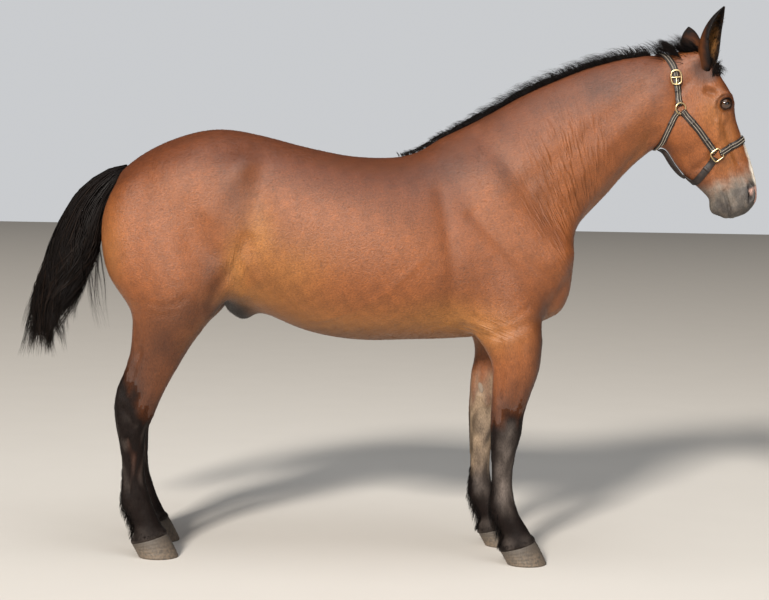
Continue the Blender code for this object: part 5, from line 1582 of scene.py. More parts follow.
def lash_mesh():
    """Lashes along each upper lid."""
    draw = np.random.default_rng(52)
    paths, flats = [], []
    for sign in (-1, 1):
        centre, outward, along, over = eye_frame(sign)
        for _ in range(LASHES):
            turn = math.radians(draw.uniform(28, 152))
            flat = (along * math.cos(turn) * EYE_HALF_LENGTH
                    + over * math.sin(turn) * EYE_HALF_HEIGHT)
            reach = math.sqrt((EYE_RADIUS + 0.001) ** 2 - flat.length_squared)
            root = centre + flat + outward * reach
            way = (outward * 0.95 + over * 0.1 + flat.normalized() * 0.45
                   + along * draw.normal() * 0.12)
            length = draw.uniform(0.01, 0.017)
            line = [root + way * length * s + Vector((0, 0, -0.55)) * length * s * s
                    for s in np.linspace(0, 1, 4)]
            paths.append([tuple(point) for point in line])
            flats.append([tuple(over)] * 4)
    paths, flats = np.array(paths), np.array(flats)
    widths = np.tile(np.array((0.0005, 0.00045, 0.0003, 0.00006)), (len(paths), 1))
    homes = unwrap(paths[:, 0])
    return strands("lashes", paths, widths, flats, homes, np.zeros(len(paths)), thick=0.8)


def hoof_mesh(row):
    """The horn wall with its growth rings, the coronet and a concave sole."""
    middle, out, long, wide, toe, heel = row
    turns = np.linspace(0, 2 * math.pi, 56, endpoint=False)
    ahead, across = hoof_outline(turns)
    notch = 0.1 * np.exp(-((turns - math.pi) / 0.3) ** 2)
    rings = []
    shares = np.concatenate([[0.0, 0.0, 0.0, 0.02], np.linspace(0.06, 0.93, 22), [0.97, 1.0, 1.02]])
    inward = [0.35, 0.75, 0.955, 0.975] + [1.0] * 22 + [0.985, 0.955, 0.8]
    for number, (share, grow) in enumerate(zip(shares, inward)):
        flare = 1.0 - 0.125 * min(share, 1.0)
        growth = 1 + 0.006 * math.sin(share * 34) * (0.1 < share < 0.9)
        reach = flare * grow * growth
        x = middle - TOE_SLOPE * share * (toe + heel) / 2 + long * ahead * reach * (1 - notch)
        y = out + wide * across * reach
        z = hoof_height(row, x) * share + (SOLE_HOLLOW if number == 0 else 0)
        rings.append(np.stack([x, y, z], 1))
    made = bmesh.new()
    rolled(made, rings)
    mesh = as_mesh(made, "hoof")
    points = coordinates(mesh)
    keep(mesh, "height", np.clip(points[:, 2] / hoof_height(row, points[:, 0]), 0, 1))
    return mesh


def chestnut_meshes(tree):
    """The rough callus on the inner side of each leg."""
    made = bmesh.new()
    for x, sign, z in CHESTNUTS:
        spot_at, normal = struck(tree, (x, 0, z), (0, sign, 0))
        turn = normal.to_track_quat("X", "Z").to_matrix().to_4x4()
        found = bmesh.ops.create_uvsphere(made, u_segments=18, v_segments=12, radius=1)
        place = (Matrix.Translation(spot_at) @ turn @ Matrix.Rotation(0.35, 4, "X")
                 @ Matrix.Diagonal((0.005, 0.01, 0.022, 1)))
        bmesh.ops.transform(made, matrix=place, verts=found["verts"])
    mesh = as_mesh(made, "chestnuts")
    points = coordinates(mesh)
    move_to(mesh, points + normals_of(mesh) * 0.0008 * mottle(points, 0.006, 9)[:, None])
    return mesh


# The halter


def side_hit(tree, x, z, sign):
    """The skin's place at (x, z) on one side."""
    spot_at, _ = struck(tree, (x, sign * 0.5, z), (0, -sign, 0))
    return spot_at or tree.find_nearest(Vector((x, sign * 0.02, z)))[0]


def hugging(tree, guides, pitch=0.006, passes=10):
    """An even line of points on the skin that follows the guides, and its normals."""
    guides = np.array(guides, float)
    marks = marks_along(guides)
    count = max(6, int(marks[-1] / pitch))
    line = read_along(guides, marks, np.linspace(0, marks[-1], count))
    normals = np.zeros_like(line)
    for _ in range(passes):
        line[1:-1] = 0.5 * line[1:-1] + 0.25 * (line[:-2] + line[2:])
        for i, point in enumerate(line):
            spot_at, normal, _, _ = tree.find_nearest(Vector(point))
            line[i] = spot_at
            normals[i] = normal
    for _ in range(4):
        normals[1:-1] = 0.5 * normals[1:-1] + 0.25 * (normals[:-2] + normals[2:])
    return line, unit(normals)


def round_the_head(tree, places, middle):
    """Guides from the right side over a middle point to the left side."""
    right = [side_hit(tree, x, z, -1) for x, z in places]
    left = [side_hit(tree, x, z, 1) for x, z in places]
    return right + [middle] + left[::-1]


def strap_paths(tree, wire):
    """Every strap's line on the skin by name, with its normals."""
    paths = {}
    for name, places, start, way in (
            ("crown", CROWN, (CROWN_TOP, 0, 2.3), (0, 0, -1)),
            ("nose", NOSE, (NOSE_FRONT[0] + 0.3, 0, NOSE_FRONT[1] + 0.14), (-0.9, 0, -0.42)),
            ("chin", CHIN, (CHIN_UNDER, 0, 1.0), (0, 0, 1)),
            ("throat", THROAT, (THROAT_UNDER, 0, 1.0), (0, 0, 1))):
        paths[name] = round_the_head(tree, places, struck(tree, start, way)[0])
    for side, sign in SIDES.items():
        paths[f"cheek_{side}"] = [side_hit(tree, x, z, sign) for x, z in CHEEK]
    lines = {}
    for name, guides in paths.items():
        line, normals = hugging(tree, guides)
        lift = STRAP_LIFT + STRAP_FORMS[name][2]
        lines[name] = ringed(line + normals * lift, normals, wire)
    jaw, turned = [], []
    for share in np.linspace(0, 1, 14):
        x = THROAT_UNDER + 0.002 + share * (CHIN_UNDER - THROAT_UNDER + 0.008)
        spot_at, normal = struck(tree, (x, 0, 1.0), (0, 0, 1))
        under = unit(np.array((normal.x, 0, normal.z)))
        jaw.append(np.array(spot_at) + under * (0.0075 + 0.004 * math.sin(math.pi * share)))
        twist = math.radians(48) * math.sin(math.pi * share) ** 0.6
        turned.append(under * math.cos(twist) + np.array((0, -1, 0)) * math.sin(twist))
    lines["jaw"] = (np.array(jaw), unit(np.array(turned)))
    return lines


def looped(line, normals, centre, wire):
    """A strap's line cut off at a ring, taken over its wire and folded back under."""
    middle, out = centre
    middle = np.array(middle)
    far = np.linalg.norm(line - middle, axis=1)
    kept = far > RING_REACH + 0.004
    line, normals = line[kept], normals[kept]
    if len(line) < 6:
        return line, normals
    inward = unit(middle - line[-1])
    out = unit(np.array(out) - inward * np.dot(out, inward))
    wire_at = middle - inward * RING_REACH
    marks = np.linalg.norm(line - wire_at, axis=1)
    rise = fade(0.03, 0.004, marks)[:, None]
    level = (line - wire_at) @ out - (wire + 0.0008)
    line = line - out * (rise[:, 0] * level)[:, None]
    normals = unit(normals * (1 - rise) + out * rise)
    ends, turned = [], []
    for angle in (0.35, 0.9, 1.5, 2.1, 2.7):
        way = out * math.cos(angle) + inward * math.sin(angle)
        ends.append(wire_at + way * (wire + 0.0008))
        turned.append(way)
    for back in (0.006, 0.013):
        ends.append(wire_at - out * (wire + 0.0008) - inward * back)
        turned.append(-out)
    return np.concatenate([line, ends]), np.concatenate([normals, turned])


def ringed(line, normals, wire):
    """A strap's line looped at each of its ends that reaches a ring."""
    for _ in range(2):
        best = None
        for kind in LOOPED_FITTINGS:
            for side in SIDES:
                centre = fitting_frame(f"halter_{kind}_{side}")
                far = np.linalg.norm(line[-1] - np.array(centre[0]))
                if far < 0.03 and (best is None or far < best[0]):
                    best = (far, centre)
        if best:
            line, normals = looped(line, normals, best[1], wire)
        line, normals = line[::-1], normals[::-1]
    return line, normals


# Cross sections of straps: out from the middle in half widths, height in metres.
RAISED_STRAP = ((-1.0, 0.0), (-1.0, 0.0022), (-0.93, 0.003), (-0.58, 0.0031), (-0.5, 0.005),
                (0.5, 0.005), (0.58, 0.0031), (0.93, 0.003), (1.0, 0.0022), (1.0, 0.0))
PLAIN_STRAP = ((-1.0, 0.0), (-1.0, 0.0022), (-0.92, 0.0032), (0.0, 0.0036),
               (0.92, 0.0032), (1.0, 0.0022), (1.0, 0.0), (0.0, 0.0))
# Straps: cross section, share of the full width, and how far it is raised over the straps below.
STRAP_FORMS = {
    "crown": (RAISED_STRAP, 1.0, 0.0),
    "nose": (RAISED_STRAP, 1.0, 0.0004),
    "chin": (PLAIN_STRAP, 1.0, 0.0),
    "throat": (RAISED_STRAP, 0.84, 0.0002),
    "cheek_right": (RAISED_STRAP, 1.0, 0.0003),
    "cheek_left": (RAISED_STRAP, 1.0, 0.0003),
    "jaw": (PLAIN_STRAP, 0.84, 0.0),
}


def across_line(line, normals):
    """The way along a strap and the way across it at each of its points."""
    along = unit(np.gradient(line, axis=0))
    return along, unit(np.cross(normals, along))


def swept_strap(made, line, normals, half, profile):
    """A strap's cross section carried along its line."""
    _, across = across_line(line, normals)
    rings = []
    for point, normal, side in zip(line, normals, across):
        rings.append([point + side * a * half + normal * b for a, b in profile])
    rolled(made, rings)


def strap_mesh(lines, width):
    """All the leather, each strap with its own cross section, and the keepers near rings."""
    made = bmesh.new()
    for name, (line, normals) in lines.items():
        profile, share, _ = STRAP_FORMS[name]
        half = width / 2 * share
        swept_strap(made, line, normals, half, profile)
        keeper = [(a * 1.06, b * 1.25 - 0.0004) for a, b in profile]
        for start in (13, len(line) - 16):
            if name != "jaw" and 12 < start < len(line) - 12 and len(line) > 34:
                piece = slice(start, start + 3)
                swept_strap(made, line[piece], normals[piece], half, keeper)
    return as_mesh(made, "leather")


def stitch_mesh(lines, width):
    """Two rows of pale stitches along each raised strap."""
    spots, ways, outs = [], [], []
    for name, (line, normals) in lines.items():
        profile, share, _ = STRAP_FORMS[name]
        if profile is PLAIN_STRAP:
            continue
        along, across = across_line(line, normals)
        half = width / 2 * share
        marks = marks_along(line)
        places = np.arange(0.012, marks[-1] - 0.012, 0.005)
        for side in (-0.38, 0.38):
            edge = line + across * side * half + normals * 0.0051
            for kept, source in ((spots, edge), (ways, along), (outs, normals)):
                kept.append(read_along(source, marks, places))
    spots, ways, outs = np.concatenate(spots), np.concatenate(ways), np.concatenate(outs)
    share = np.array((-1.0, -0.5, 0.5, 1.0))
    height = np.array((-0.0006, 0.0004, 0.0004, -0.0006))
    paths = (spots[:, None] + ways[:, None] * (share * 0.0021)[None, :, None]
             + outs[:, None] * height[None, :, None])
    widths = np.tile(np.array((0.0008, 0.0014, 0.0014, 0.0008)), (len(spots), 1))
    flats = np.repeat(outs[:, None], 4, 1)
    homes = np.random.default_rng(61).uniform(0.02, 0.97, (len(spots), 2))
    return strands("stitching", paths, widths, flats, homes, np.full(len(spots), 0.5), 4, 0.9)


def hoop(made, centre, along, across, long, wide, wire, squareness, sides=40, round_sides=10):
    """A closed ring of wire in the plane of two directions."""
    out = along.cross(across).normalized()
    turns = np.linspace(0, 2 * math.pi, sides, endpoint=False)
    a = np.sign(np.cos(turns)) * np.abs(np.cos(turns)) ** squareness * long
    b = np.sign(np.sin(turns)) * np.abs(np.sin(turns)) ** squareness * wide
    line = np.outer(a, along) + np.outer(b, across)
    ways = unit(np.roll(line, -1, 0) - np.roll(line, 1, 0))
    away = np.cross(ways, np.array(out))
    rings = []
    for place, way in zip(line, away):
        angles = np.linspace(0, 2 * math.pi, round_sides, endpoint=False)
        rings.append(np.array(centre) + place + np.outer(np.cos(angles) * wire, way)
                     + np.outer(np.sin(angles) * wire, out))
    rolled(made, rings, closed=True)


def rod(made, start, end, wire):
    """A short round bar with rounded ends."""
    way = (end - start).normalized()
    side = way.cross(Vector((0.3, 0.5, 0.8))).normalized()
    over = way.cross(side)
    rings = []
    for share, size in ((0, 0.3), (0.03, 0.8), (0.1, 1.0), (0.9, 1.0), (0.97, 0.8), (1, 0.3)):
        turns = np.linspace(0, 2 * math.pi, 10, endpoint=False)
        rings.append([start + (end - start) * share + side * math.cos(t) * wire * size
                      + over * math.sin(t) * wire * size for t in turns])
    rolled(made, rings)


def fitting_frame(name):
    """The middle of a flat brass fitting and its way out, read from its solid."""
    points = coordinates(frame["nodes"][name].data) - np.array(ORIGIN)
    middle = points.mean(axis=0)
    _, _, axes = np.linalg.svd(points - middle, full_matrices=False)
    out = axes[2] * np.sign(axes[2][1] * middle[1])
    return Vector(middle), Vector(out)


# Brass fittings: the way each is turned seen from the side, half sizes, squareness.
BRASS = {
    "ring": ((1.0, 0.0), 0.0205, 0.0205, 1.0),
    "square": ((0.79, 0.62), 0.0205, 0.0205, 0.4),
    "buckle": ((0.1, -1.0), 0.027, 0.0195, 0.75),
}


def brass_mesh(kind, side, wire):
    """One ring, square or buckle where its solid is."""
    centre, out = fitting_frame(f"halter_{kind}_{side}")
    turned, long, wide, squareness = BRASS[kind]
    along = Vector((turned[0], 0, turned[1]))
    along = (along - out * along.dot(out)).normalized()
    across = out.cross(along).normalized()
    made = bmesh.new()
    hoop(made, centre, along, across, long, wide, wire, squareness)
    if kind == "buckle":
        rod(made, centre - across * wide, centre + across * wide, wire * 0.8)
        rod(made, centre - out * 0.001, centre + along * (long + 0.001) + out * 0.003, wire * 0.6)
    return as_mesh(made, "brass")


# Materials


def fill(tree, target, values):
    """Links or sets the inputs of a node: sockets are linked and None is passed over."""
    for key, value in values.items():
        if isinstance(value, bpy.types.NodeSocket):
            tree.links.new(value, target.inputs[key])
        elif value is not None:
            target.inputs[key].default_value = value


def node(tree, kind, *values, **named):
    """A new shader node. Values fill its inputs in order, names in lower case are its
    properties and the other names are inputs."""
    made = tree.nodes.new("ShaderNode" + kind)
    for key in filter(str.islower, named):
        setattr(made, key, named[key])
    fill(tree, made, dict(enumerate(values)))
    fill(tree, made, {key: value for key, value in named.items() if not key.islower()})
    return made


def attribute(tree, name, output="Fac"):
    return node(tree, "Attribute", attribute_name=name).outputs[output]


def maths(tree, operation, *values):
    return node(tree, "Math", *values, operation=operation).outputs[0]


def scaled(tree, vector, factor):
    return node(tree, "VectorMath", vector, Scale=factor, operation="SCALE").outputs["Vector"]


def ranged(tree, value, low, high, first=0.0, last=1.0):
    """A value that runs from low to high, spread from first to last."""
    return node(tree, "MapRange", value, low, high, first, last).outputs[0]


def object_place(tree):
    return node(tree, "TexCoord").outputs["Object"]


def noise(tree, place, scale, detail, roughness=0.5):
    return node(tree, "TexNoise", Vector=place, Scale=scale, Detail=detail,
                Roughness=roughness).outputs["Fac"]


def blend(tree, factor, *colours):
    """A colour between two, each a socket or three numbers."""
    colours = [colour if isinstance(colour, bpy.types.NodeSocket) else (*colour, 1)
               for colour in colours]
    return node(tree, "Mix", factor, *[None] * 5, *colours, data_type="RGBA").outputs[2]


def times(colour, factor):
    return [min(1, part * factor) for part in colour]


def bump(tree, height, strength, distance, normal=None):
    return node(tree, "Bump", Strength=strength, Distance=distance, Height=height,
                Normal=normal).outputs["Normal"]


def new_material(name):
    material = bpy.data.materials.new(name)
    material.use_nodes = True
    return material, material.node_tree


def surfaced(material, values):
    """The material with its shader's inputs linked or set."""
    tree = material.node_tree
    fill(tree, tree.nodes["Principled BSDF"], values)
    return material


def fur_group():
    """Fine streaks of hair along a direction: a colour multiplier and a height."""
    tree = bpy.data.node_groups.get("Hair streaks")
    if tree:
        return tree
    tree = bpy.data.node_groups.new("Hair streaks", "ShaderNodeTree")
    for way, name, kind in (("INPUT", "Vector", "Vector"), ("INPUT", "Contrast", "Float"),
                            ("OUTPUT", "Shade", "Float"), ("OUTPUT", "Height", "Float")):
        tree.interface.new_socket(name, in_out=way, socket_type="NodeSocket" + kind)
    start, end = tree.nodes.new("NodeGroupInput"), tree.nodes.new("NodeGroupOutput")
    place = start.outputs["Vector"]
    height = maths(tree, "MULTIPLY_ADD", noise(tree, place, 3.1, 3.0, 0.7), 0.5,
                   noise(tree, place, 1.0, 4.0, 0.62))
    strong = maths(tree, "MULTIPLY", maths(tree, "SUBTRACT", height, 0.75),
                   start.outputs["Contrast"])
    fill(tree, end, {"Shade": maths(tree, "ADD", strong, 1.0), "Height": height})
    return tree


def streaks(tree, scale, turn, contrast):
    """The group of hair streaks on Object coordinates, stretched along one way."""
    place = node(tree, "Mapping", object_place(tree), vector_type="TEXTURE", Rotation=turn,
                 Scale=tuple(1 / value for value in scale))
    group = tree.nodes.new("ShaderNodeGroup")
    group.node_tree = fur_group()
    fill(tree, group, {"Vector": place.outputs[0], "Contrast": contrast})
    return group.outputs


def skin_material(name, specular, dullest):
    """The coat's painted colours with streaks of hair, polish on the body and fine folds."""
    material, tree = new_material(name)
    lying = streaks(tree, (110, 300, 300), (0, math.radians(-25), 0), 2.0)
    hanging = streaks(tree, (300, 300, 100), (0, math.radians(-4), 0), 1.8)
    legs = attribute(tree, "legs")
    shade, height = [node(tree, "Mix", legs, None, lying[key], hanging[key]).outputs[0]
                     for key in ("Shade", "Height")]
    crease = noise(tree, attribute(tree, "fan", "Vector"), 1.0, 2.5, 0.55)
    creased = maths(tree, "MULTIPLY", ranged(tree, crease, 0.46, 0.72), attribute(tree, "folds"))
    return surfaced(material, {
        "Base Color": scaled(tree, attribute(tree, "coat", "Color"), shade),
        "Roughness": ranged(tree, attribute(tree, "gloss"), 0, 1, dullest, 0.41),
        "Specular IOR Level": specular,
        "Normal": bump(tree, height, 0.75, 0.0024, bump(tree, creased, 0.75, 0.008)),
    })


def tuft_material(name, specular):
    """The same colours for the short tufts, which carry them from their roots."""
    material, tree = new_material(name)
    return surfaced(material, {
        "Base Color": attribute(tree, "coat", "Color"),
        "Roughness": ranged(tree, attribute(tree, "gloss"), 0, 1, 0.75, 0.45),
        "Specular IOR Level": specular,
    })


def hair_material(look):
    """Long black hair, browner on a few strands and at the tips."""
    material, tree = new_material("black_hair")
    shade = attribute(tree, "shade")
    tips = maths(tree, "MULTIPLY", ranged(tree, shade, 0.72, 1.0, 0.0, 0.4),
                 attribute(tree, "share"))
    return surfaced(material, {
        "Base Color": blend(tree, tips, look.black, (0.05, 0.026, 0.014)),
        "Roughness": ranged(tree, shade, 0, 1, 0.42, 0.6),
        "Specular IOR Level": 0.09,
    })


def ear_material():
    """Painted colours with fine hair."""
    material, tree = new_material("ear_coat")
    hair = streaks(tree, (260, 260, 60), (0, 0, 0), 0.5)
    return surfaced(material, {
        "Base Color": scaled(tree, attribute(tree, "coat", "Color"), hair["Shade"]),
        "Roughness": 0.68,
        "Specular IOR Level": 0.1,
        "Normal": bump(tree, hair["Height"], 0.4, 0.0012),
    })


def eye_material():
    """A dark brown iris round a level pupil, under a wet surface."""
    material, tree = new_material("eye")
    gaze = attribute(tree, "gaze", "Vector")
    split = node(tree, "SeparateXYZ", gaze).outputs
    flat = node(tree, "CombineXYZ", split["X"], maths(tree, "MULTIPLY", split["Y"], 1.9))
    far = node(tree, "VectorMath", flat.outputs[0], operation="LENGTH").outputs["Value"]
    iris = blend(tree, noise(tree, gaze, 9.0, 3.0), (0.016, 0.007, 0.003), (0.07, 0.03, 0.012))
    return surfaced(material, {
        "Base Color": blend(tree, ranged(tree, far, 0.36, 0.46), (0.002, 0.0022, 0.003), iris),
        "Roughness": 0.16,
        "Coat Weight": 0.7,
        "Coat Roughness": 0.03,
    })


def hoof_material(look):
    """Dark horn with growth rings, dusted with sand towards the ground."""
    material, tree = new_material("hoof_horn")
    place = object_place(tree)
    upright = node(tree, "Mapping", place, Scale=(240, 240, 14)).outputs[0]
    fibres = noise(tree, upright, 1.0, 3.0)
    dust = maths(tree, "MULTIPLY",
                 ranged(tree, attribute(tree, "height"), 0.95, 0.15, 0.0, 0.42),
                 ranged(tree, noise(tree, place, 95.0, 5.0, 0.65), 0.35, 0.62))
    horn = blend(tree, fibres, look.horn, times(look.horn, 2.4))
    rings = node(tree, "TexWave", place, bands_direction="Z", Scale=28.0, Distortion=1.2)
    ridges = bump(tree, rings.outputs["Fac"], 0.12, 0.001)
    return surfaced(material, {
        "Base Color": blend(tree, dust, horn, look.sand),
        "Roughness": 0.66,
        "Normal": bump(tree, fibres, 0.3, 0.001, ridges),
    })


def leather_material(look):
    """Dark oiled leather with a fine grain, paler where it is worn."""
    material, tree = new_material("halter_leather")
    place = object_place(tree)
    wear = noise(tree, place, 48.0, 4.0)
    grain = node(tree, "TexVoronoi", Vector=place, Scale=900.0).outputs["Distance"]
    return surfaced(material, {
        "Base Color": blend(tree, ranged(tree, wear, 0.48, 0.72), look.leather,
                            times(look.leather, 2.6)),
        "Roughness": ranged(tree, wear, 0, 1, 0.46, 0.66),
        "Normal": bump(tree, grain, 0.25, 0.0004),
    })


def brass_material(look):
    """Handled brass, a little duller in patches."""
    material, tree = new_material("halter_brass")
    tarnish = noise(tree, object_place(tree), 120.0, 4.0)
    return surfaced(material, {
        "Base Color": blend(tree, ranged(tree, tarnish, 0.5, 0.75), look.brass,
                            times(look.brass, 0.45)),
        "Metallic": 1.0,
        "Roughness": ranged(tree, tarnish, 0, 1, 0.2, 0.45),
    })


def plain_material(name, colour, roughness, grain, scale):
    """One colour, broken up a little by noise."""
    material, tree = new_material(name)
    speckle = noise(tree, object_place(tree), scale, 3.0)
    return surfaced(material, {
        "Base Color": blend(tree, speckle, times(colour, 1 - grain), times(colour, 1 + grain)),
        "Roughness": roughness,
    })


# The operators that make the pieces


class HORSE_OT_skin(Operator):
    """Make the one skin over all the flesh"""

    bl_idname = "horse.skin"
    bl_label = "Skin"

    def execute(self, context):
        sizes, look = context.scene.horse_sizes, context.scene.horse_colours
        mesh = make_skin(sizes)
        points, normals = coordinates(mesh), normals_of(mesh)
        paint_points(mesh, coat_colour(points, normals, look))
        x, y, z = points.T
        flat_side = fade(0.35, 0.7, np.abs(normals[:, 1]))
        folds = (spot(points, (0.69, 1.46), (0.13, 0.23)) * flat_side
                 + 0.6 * spot(points, (0.36, 0.9), (0.14, 0.04))
                 + 0.5 * spot(points, (-0.555, 1.12), (0.04, 0.12)))
        for name, values in (("gloss", gloss_of(points)), ("folds", np.clip(folds, 0, 1)),
                             ("legs", np.maximum(fade(0.95, 0.8, z), fade(1.04, 1.12, x)))):
            keep(mesh, name, values)
        away = points[:, ::2] - np.where(x[:, None] > 0, *FOLD_FANS)
        turn = np.arctan2(away[:, 0], away[:, 1])
        keep(mesh, "fan", np.stack([turn * 62, np.linalg.norm(away, axis=1) * 10, y * 5], 1))
        black = is_black(points)
        firsts = [face.vertices[0] for face in mesh.polygons]
        mesh.polygons.foreach_set("material_index", black[firsts].astype(np.int32))
        materials = [skin_material("bay_coat", 0.4, 0.6),
                     skin_material("black_points", 0.08, 0.55)]
        finished("skin", mesh, materials, FLESH, slot="barrel")
        return {"FINISHED"}


class HORSE_OT_short_coat(Operator):
    """Set short tufts in the skin where the coat breaks its form"""

    bl_idname = "horse.short_coat"
    bl_label = "Short coat"

    def execute(self, context):
        mesh = bpy.data.objects["skin"].data
        mesh.calc_loop_triangles()
        faces = np.empty(len(mesh.loop_triangles) * 3, np.int64)
        mesh.loop_triangles.foreach_get("vertices", faces)
        points = coordinates(mesh) - np.array(ORIGIN)
        materials = [tuft_material("bay_tufts", 0.32), tuft_material("black_tufts", 0.06)]
        for coat in coat_meshes(points, normals_of(mesh), faces.reshape(-1, 3),
                                context.scene.horse_sizes.coat_tufts,
                                context.scene.horse_colours):
            finished(coat.name, coat, materials, slot="barrel")
        return {"FINISHED"}


class HORSE_OT_ears(Operator):
    """Make both ears"""

    bl_idname = "horse.ears"
    bl_label = "Ears"

    def execute(self, context):
        look = context.scene.horse_colours
        material = ear_material()
        for name, (base, tip, faces, radius) in EARS.items():
            mesh, share, inner, rim = ear_mesh(base, tip, faces, radius)
            # Darker towards the tip and the rims, and dark in the cup but for a tan patch: the
            # black hair of the points, with painted shade along the rim and in the hollow of the
            # cup.
            dark = np.array(look.black) * 1.1
            speckle = 0.15 * mottle(coordinates(mesh), 0.012, 13)
            shade = np.clip(0.7 * fade(0.35, 0.8, share) + 0.75 * rim + 0.3 + speckle, 0, 1)
            patch = swell(share - 0.42, 0.26) * (1 - rim)
            deep = np.clip(1.0 - 0.85 * patch + speckle, 0, 1)
            colour = toward(toward(np.array(look.bay) * 0.45, dark, shade),
                            toward(np.array(look.gold) * 0.5, dark, deep), inner)
            paint_points(mesh, np.clip(colour, 0, 1))
            finished(name + "_skin", mesh, [material], (name,))
        return {"FINISHED"}


class HORSE_OT_eyes(Operator):
    """Make both eyes"""

    bl_idname = "horse.eyes"
    bl_label = "Eyes"

    def execute(self, context):
        material = eye_material()
        for side, sign in SIDES.items():
            finished(f"eyeball_{side}", eye_mesh(sign), [material], (f"eye_{side}",))
        return {"FINISHED"}


class HORSE_OT_hooves(Operator):
    """Make the four hooves and the chestnuts"""

    bl_idname = "horse.hooves"
    bl_label = "Hooves"

    def execute(self, context):
        look = context.scene.horse_colours
        material = hoof_material(look)
        for name, row in HOOVES.items():
            finished(name + "_horn", hoof_mesh(row), [material], (name,))
        tree = skin_surface()
        callus = plain_material("chestnut", (0.19, 0.15, 0.115), 0.9, 0.35, 500.0)
        finished("chestnuts", chestnut_meshes(tree), [callus], slot="forearm_right")
        return {"FINISHED"}


class HORSE_OT_long_hair(Operator):
    """Grow the mane, forelock, ear hair, lashes, tail and fetlock hair"""

    bl_idname = "horse.long_hair"
    bl_label = "Long hair"

    def execute(self, context):
        sizes, look = context.scene.horse_sizes, context.scene.horse_colours
        material = hair_material(look)
        tree = skin_surface()
        for mesh in (mane_mesh(tree, sizes.mane_strands), forelock_mesh(tree),
                     ear_hair_mesh(tree), lash_mesh(), fetlock_mesh(tree),
                     *tail_meshes(sizes.tail_strands)):
            nodes = ("tail",) if mesh.name == "tail_outer" else ()
            finished(mesh.name, mesh, [material], nodes, slot="tail")
        return {"FINISHED"}


class HORSE_OT_halter(Operator):
    """Make the halter's leather, stitching and brass"""

    bl_idname = "horse.halter"
    bl_label = "Halter"

    def execute(self, context):
        sizes, look = context.scene.horse_sizes, context.scene.horse_colours
        tree = skin_surface()
        lines = strap_paths(tree, sizes.wire)
        finished("leather", strap_mesh(lines, sizes.strap_width), [leather_material(look)],
                 ("halter_straps", "halter_jaw_strap"))
        thread = plain_material("thread", look.thread, 0.75, 0.25, 900.0)
        finished("stitching", stitch_mesh(lines, sizes.strap_width), [thread],
                 slot="halter_straps")
        brass = brass_material(look)
        for kind in BRASS:
            for side in SIDES:
                finished(f"brass_{kind}_{side}", brass_mesh(kind, side, sizes.wire), [brass],
                         (f"halter_{kind}_{side}",))
        return {"FINISHED"}


# The camera, fitted to the photograph: the picture's size, the focal length and the row of
# the horizon in its pixels, and the sensor's width in millimetres.
PICTURE = (769, 600)
FOCAL_PIXELS = 1750.0
HORIZON_ROW = 172.0
SENSOR = 36
CAMERA_AWAY = 6.8
CAMERA_HEIGHT = 1.4905
CAMERA_ROLL = math.radians(1.0)
# Lights: name, place, side, power, colour. All aim at one place.
LIGHTS = (
    ("key", (-19.2, -57.2, 33.0), 10.0, 85000, (1.0, 0.945, 0.87)),
    ("fill", (6.5, -7.0, 3.0), 4.0, 70, (0.97, 0.98, 1.0)),
    ("top", (0.3, -1.8, 7.0), 6.0, 320, (0.94, 0.97, 1.0)),
)
LIT_PLACE = Vector((0, 0, 1.1))


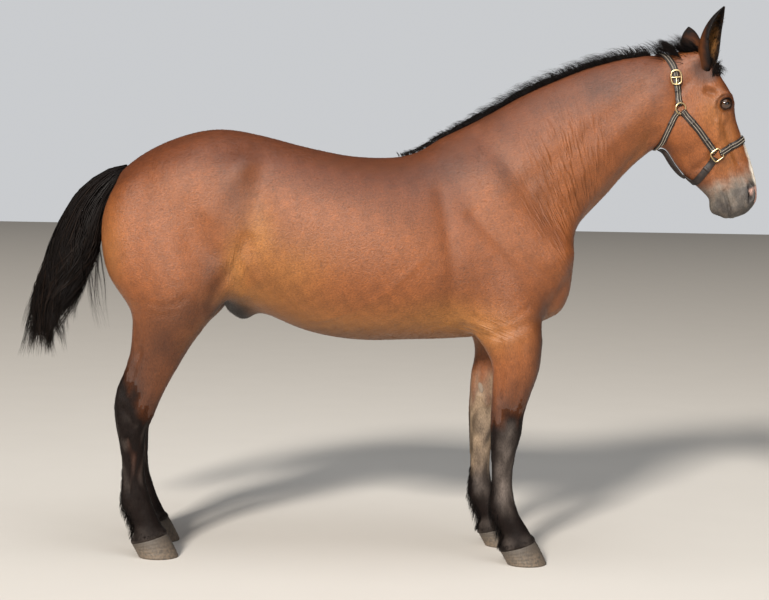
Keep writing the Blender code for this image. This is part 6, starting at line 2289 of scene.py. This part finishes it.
class HORSE_OT_stage(Operator):
    """Set the floor, the lights and the camera"""

    bl_idname = "horse.stage"
    bl_label = "Stage"

    def execute(self, context):
        scene = context.scene
        made = bmesh.new()
        bmesh.ops.create_grid(made, x_segments=2, y_segments=2, size=40)
        mesh = as_mesh(made, "floor")
        mesh.materials.append(plain_material("floor", (0.56, 0.53, 0.49), 0.9, 0.02, 3.0))
        floor = bpy.data.objects.new("floor", mesh)
        scene.collection.objects.link(floor)

        # The sky is bright to the camera, weak on the horse and a little stronger in its shade.
        scene.world = bpy.data.worlds.new("studio")
        scene.world.use_nodes = True
        tree = scene.world.node_tree
        ray = node(tree, "LightPath").outputs
        seen = maths(tree, "MULTIPLY_ADD", ray["Is Camera Ray"], 0.57, 0.05)
        strength = maths(tree, "MULTIPLY_ADD", ray["Is Diffuse Ray"], 0.08, seen)
        fill(tree, tree.nodes["Background"], {"Color": (0.95, 0.97, 1.0, 1), "Strength": strength})
        for name, place, size, power, colour in LIGHTS:
            lamp = bpy.data.lights.new(name, "AREA")
            lamp.size, lamp.energy, lamp.color = size, power, colour
            light = bpy.data.objects.new(name, lamp)
            light.location = place
            aim = LIT_PLACE - Vector(place)
            light.rotation_euler = aim.to_track_quat("-Z", "Y").to_euler()
            scene.collection.objects.link(light)

        camera = bpy.data.objects.new("camera", bpy.data.cameras.new("camera"))
        camera.data.sensor_width = SENSOR
        camera.data.lens = SENSOR * FOCAL_PIXELS / PICTURE[0]
        tilt = math.atan((PICTURE[1] / 2 - HORIZON_ROW) / FOCAL_PIXELS)
        camera.matrix_world = (
            Matrix.Translation(Vector((0, -CAMERA_AWAY, CAMERA_HEIGHT)) + ORIGIN)
            @ Matrix.Rotation(math.pi / 2 - tilt, 4, "X") @ Matrix.Rotation(CAMERA_ROLL, 4, "Z"))
        scene.collection.objects.link(camera)
        scene.camera = camera
        scene.view_settings.view_transform = "Standard"
        return {"FINISHED"}


class HORSE_PT_panel(Panel):
    """Lists the horse's pieces"""

    bl_idname = "HORSE_PT_panel"
    bl_label = "Heavy Horse"
    bl_space_type = "VIEW_3D"
    bl_region_type = "UI"
    bl_category = "Horse"

    def draw(self, context):
        for group in (context.scene.horse_sizes, context.scene.horse_colours):
            column = self.layout.column()
            for key in group.__annotations__:
                column.prop(group, key)
        for operator in PIECE_OPERATORS:
            self.layout.operator(operator.bl_idname)


PIECE_OPERATORS = (
    HORSE_OT_stage,
    HORSE_OT_skin,
    HORSE_OT_short_coat,
    HORSE_OT_ears,
    HORSE_OT_eyes,
    HORSE_OT_hooves,
    HORSE_OT_long_hair,
    HORSE_OT_halter,
)
CLASSES = (HorseSizes, HorseColours) + PIECE_OPERATORS + (HORSE_PT_panel,)


def register():
    for item in CLASSES:
        bpy.utils.register_class(item)
    bpy.types.Scene.horse_sizes = PointerProperty(type=HorseSizes)
    bpy.types.Scene.horse_colours = PointerProperty(type=HorseColours)


def unregister():
    del bpy.types.Scene.horse_colours
    del bpy.types.Scene.horse_sizes
    for item in reversed(CLASSES):
        bpy.utils.unregister_class(item)


def main():
    register()
    bpy.ops.horse.stage()
    bpy.ops.horse.skin()
    bpy.ops.horse.short_coat()
    bpy.ops.horse.ears()
    bpy.ops.horse.eyes()
    bpy.ops.horse.hooves()
    bpy.ops.horse.long_hair()
    bpy.ops.horse.halter()


if __name__ == "__main__":
    main()
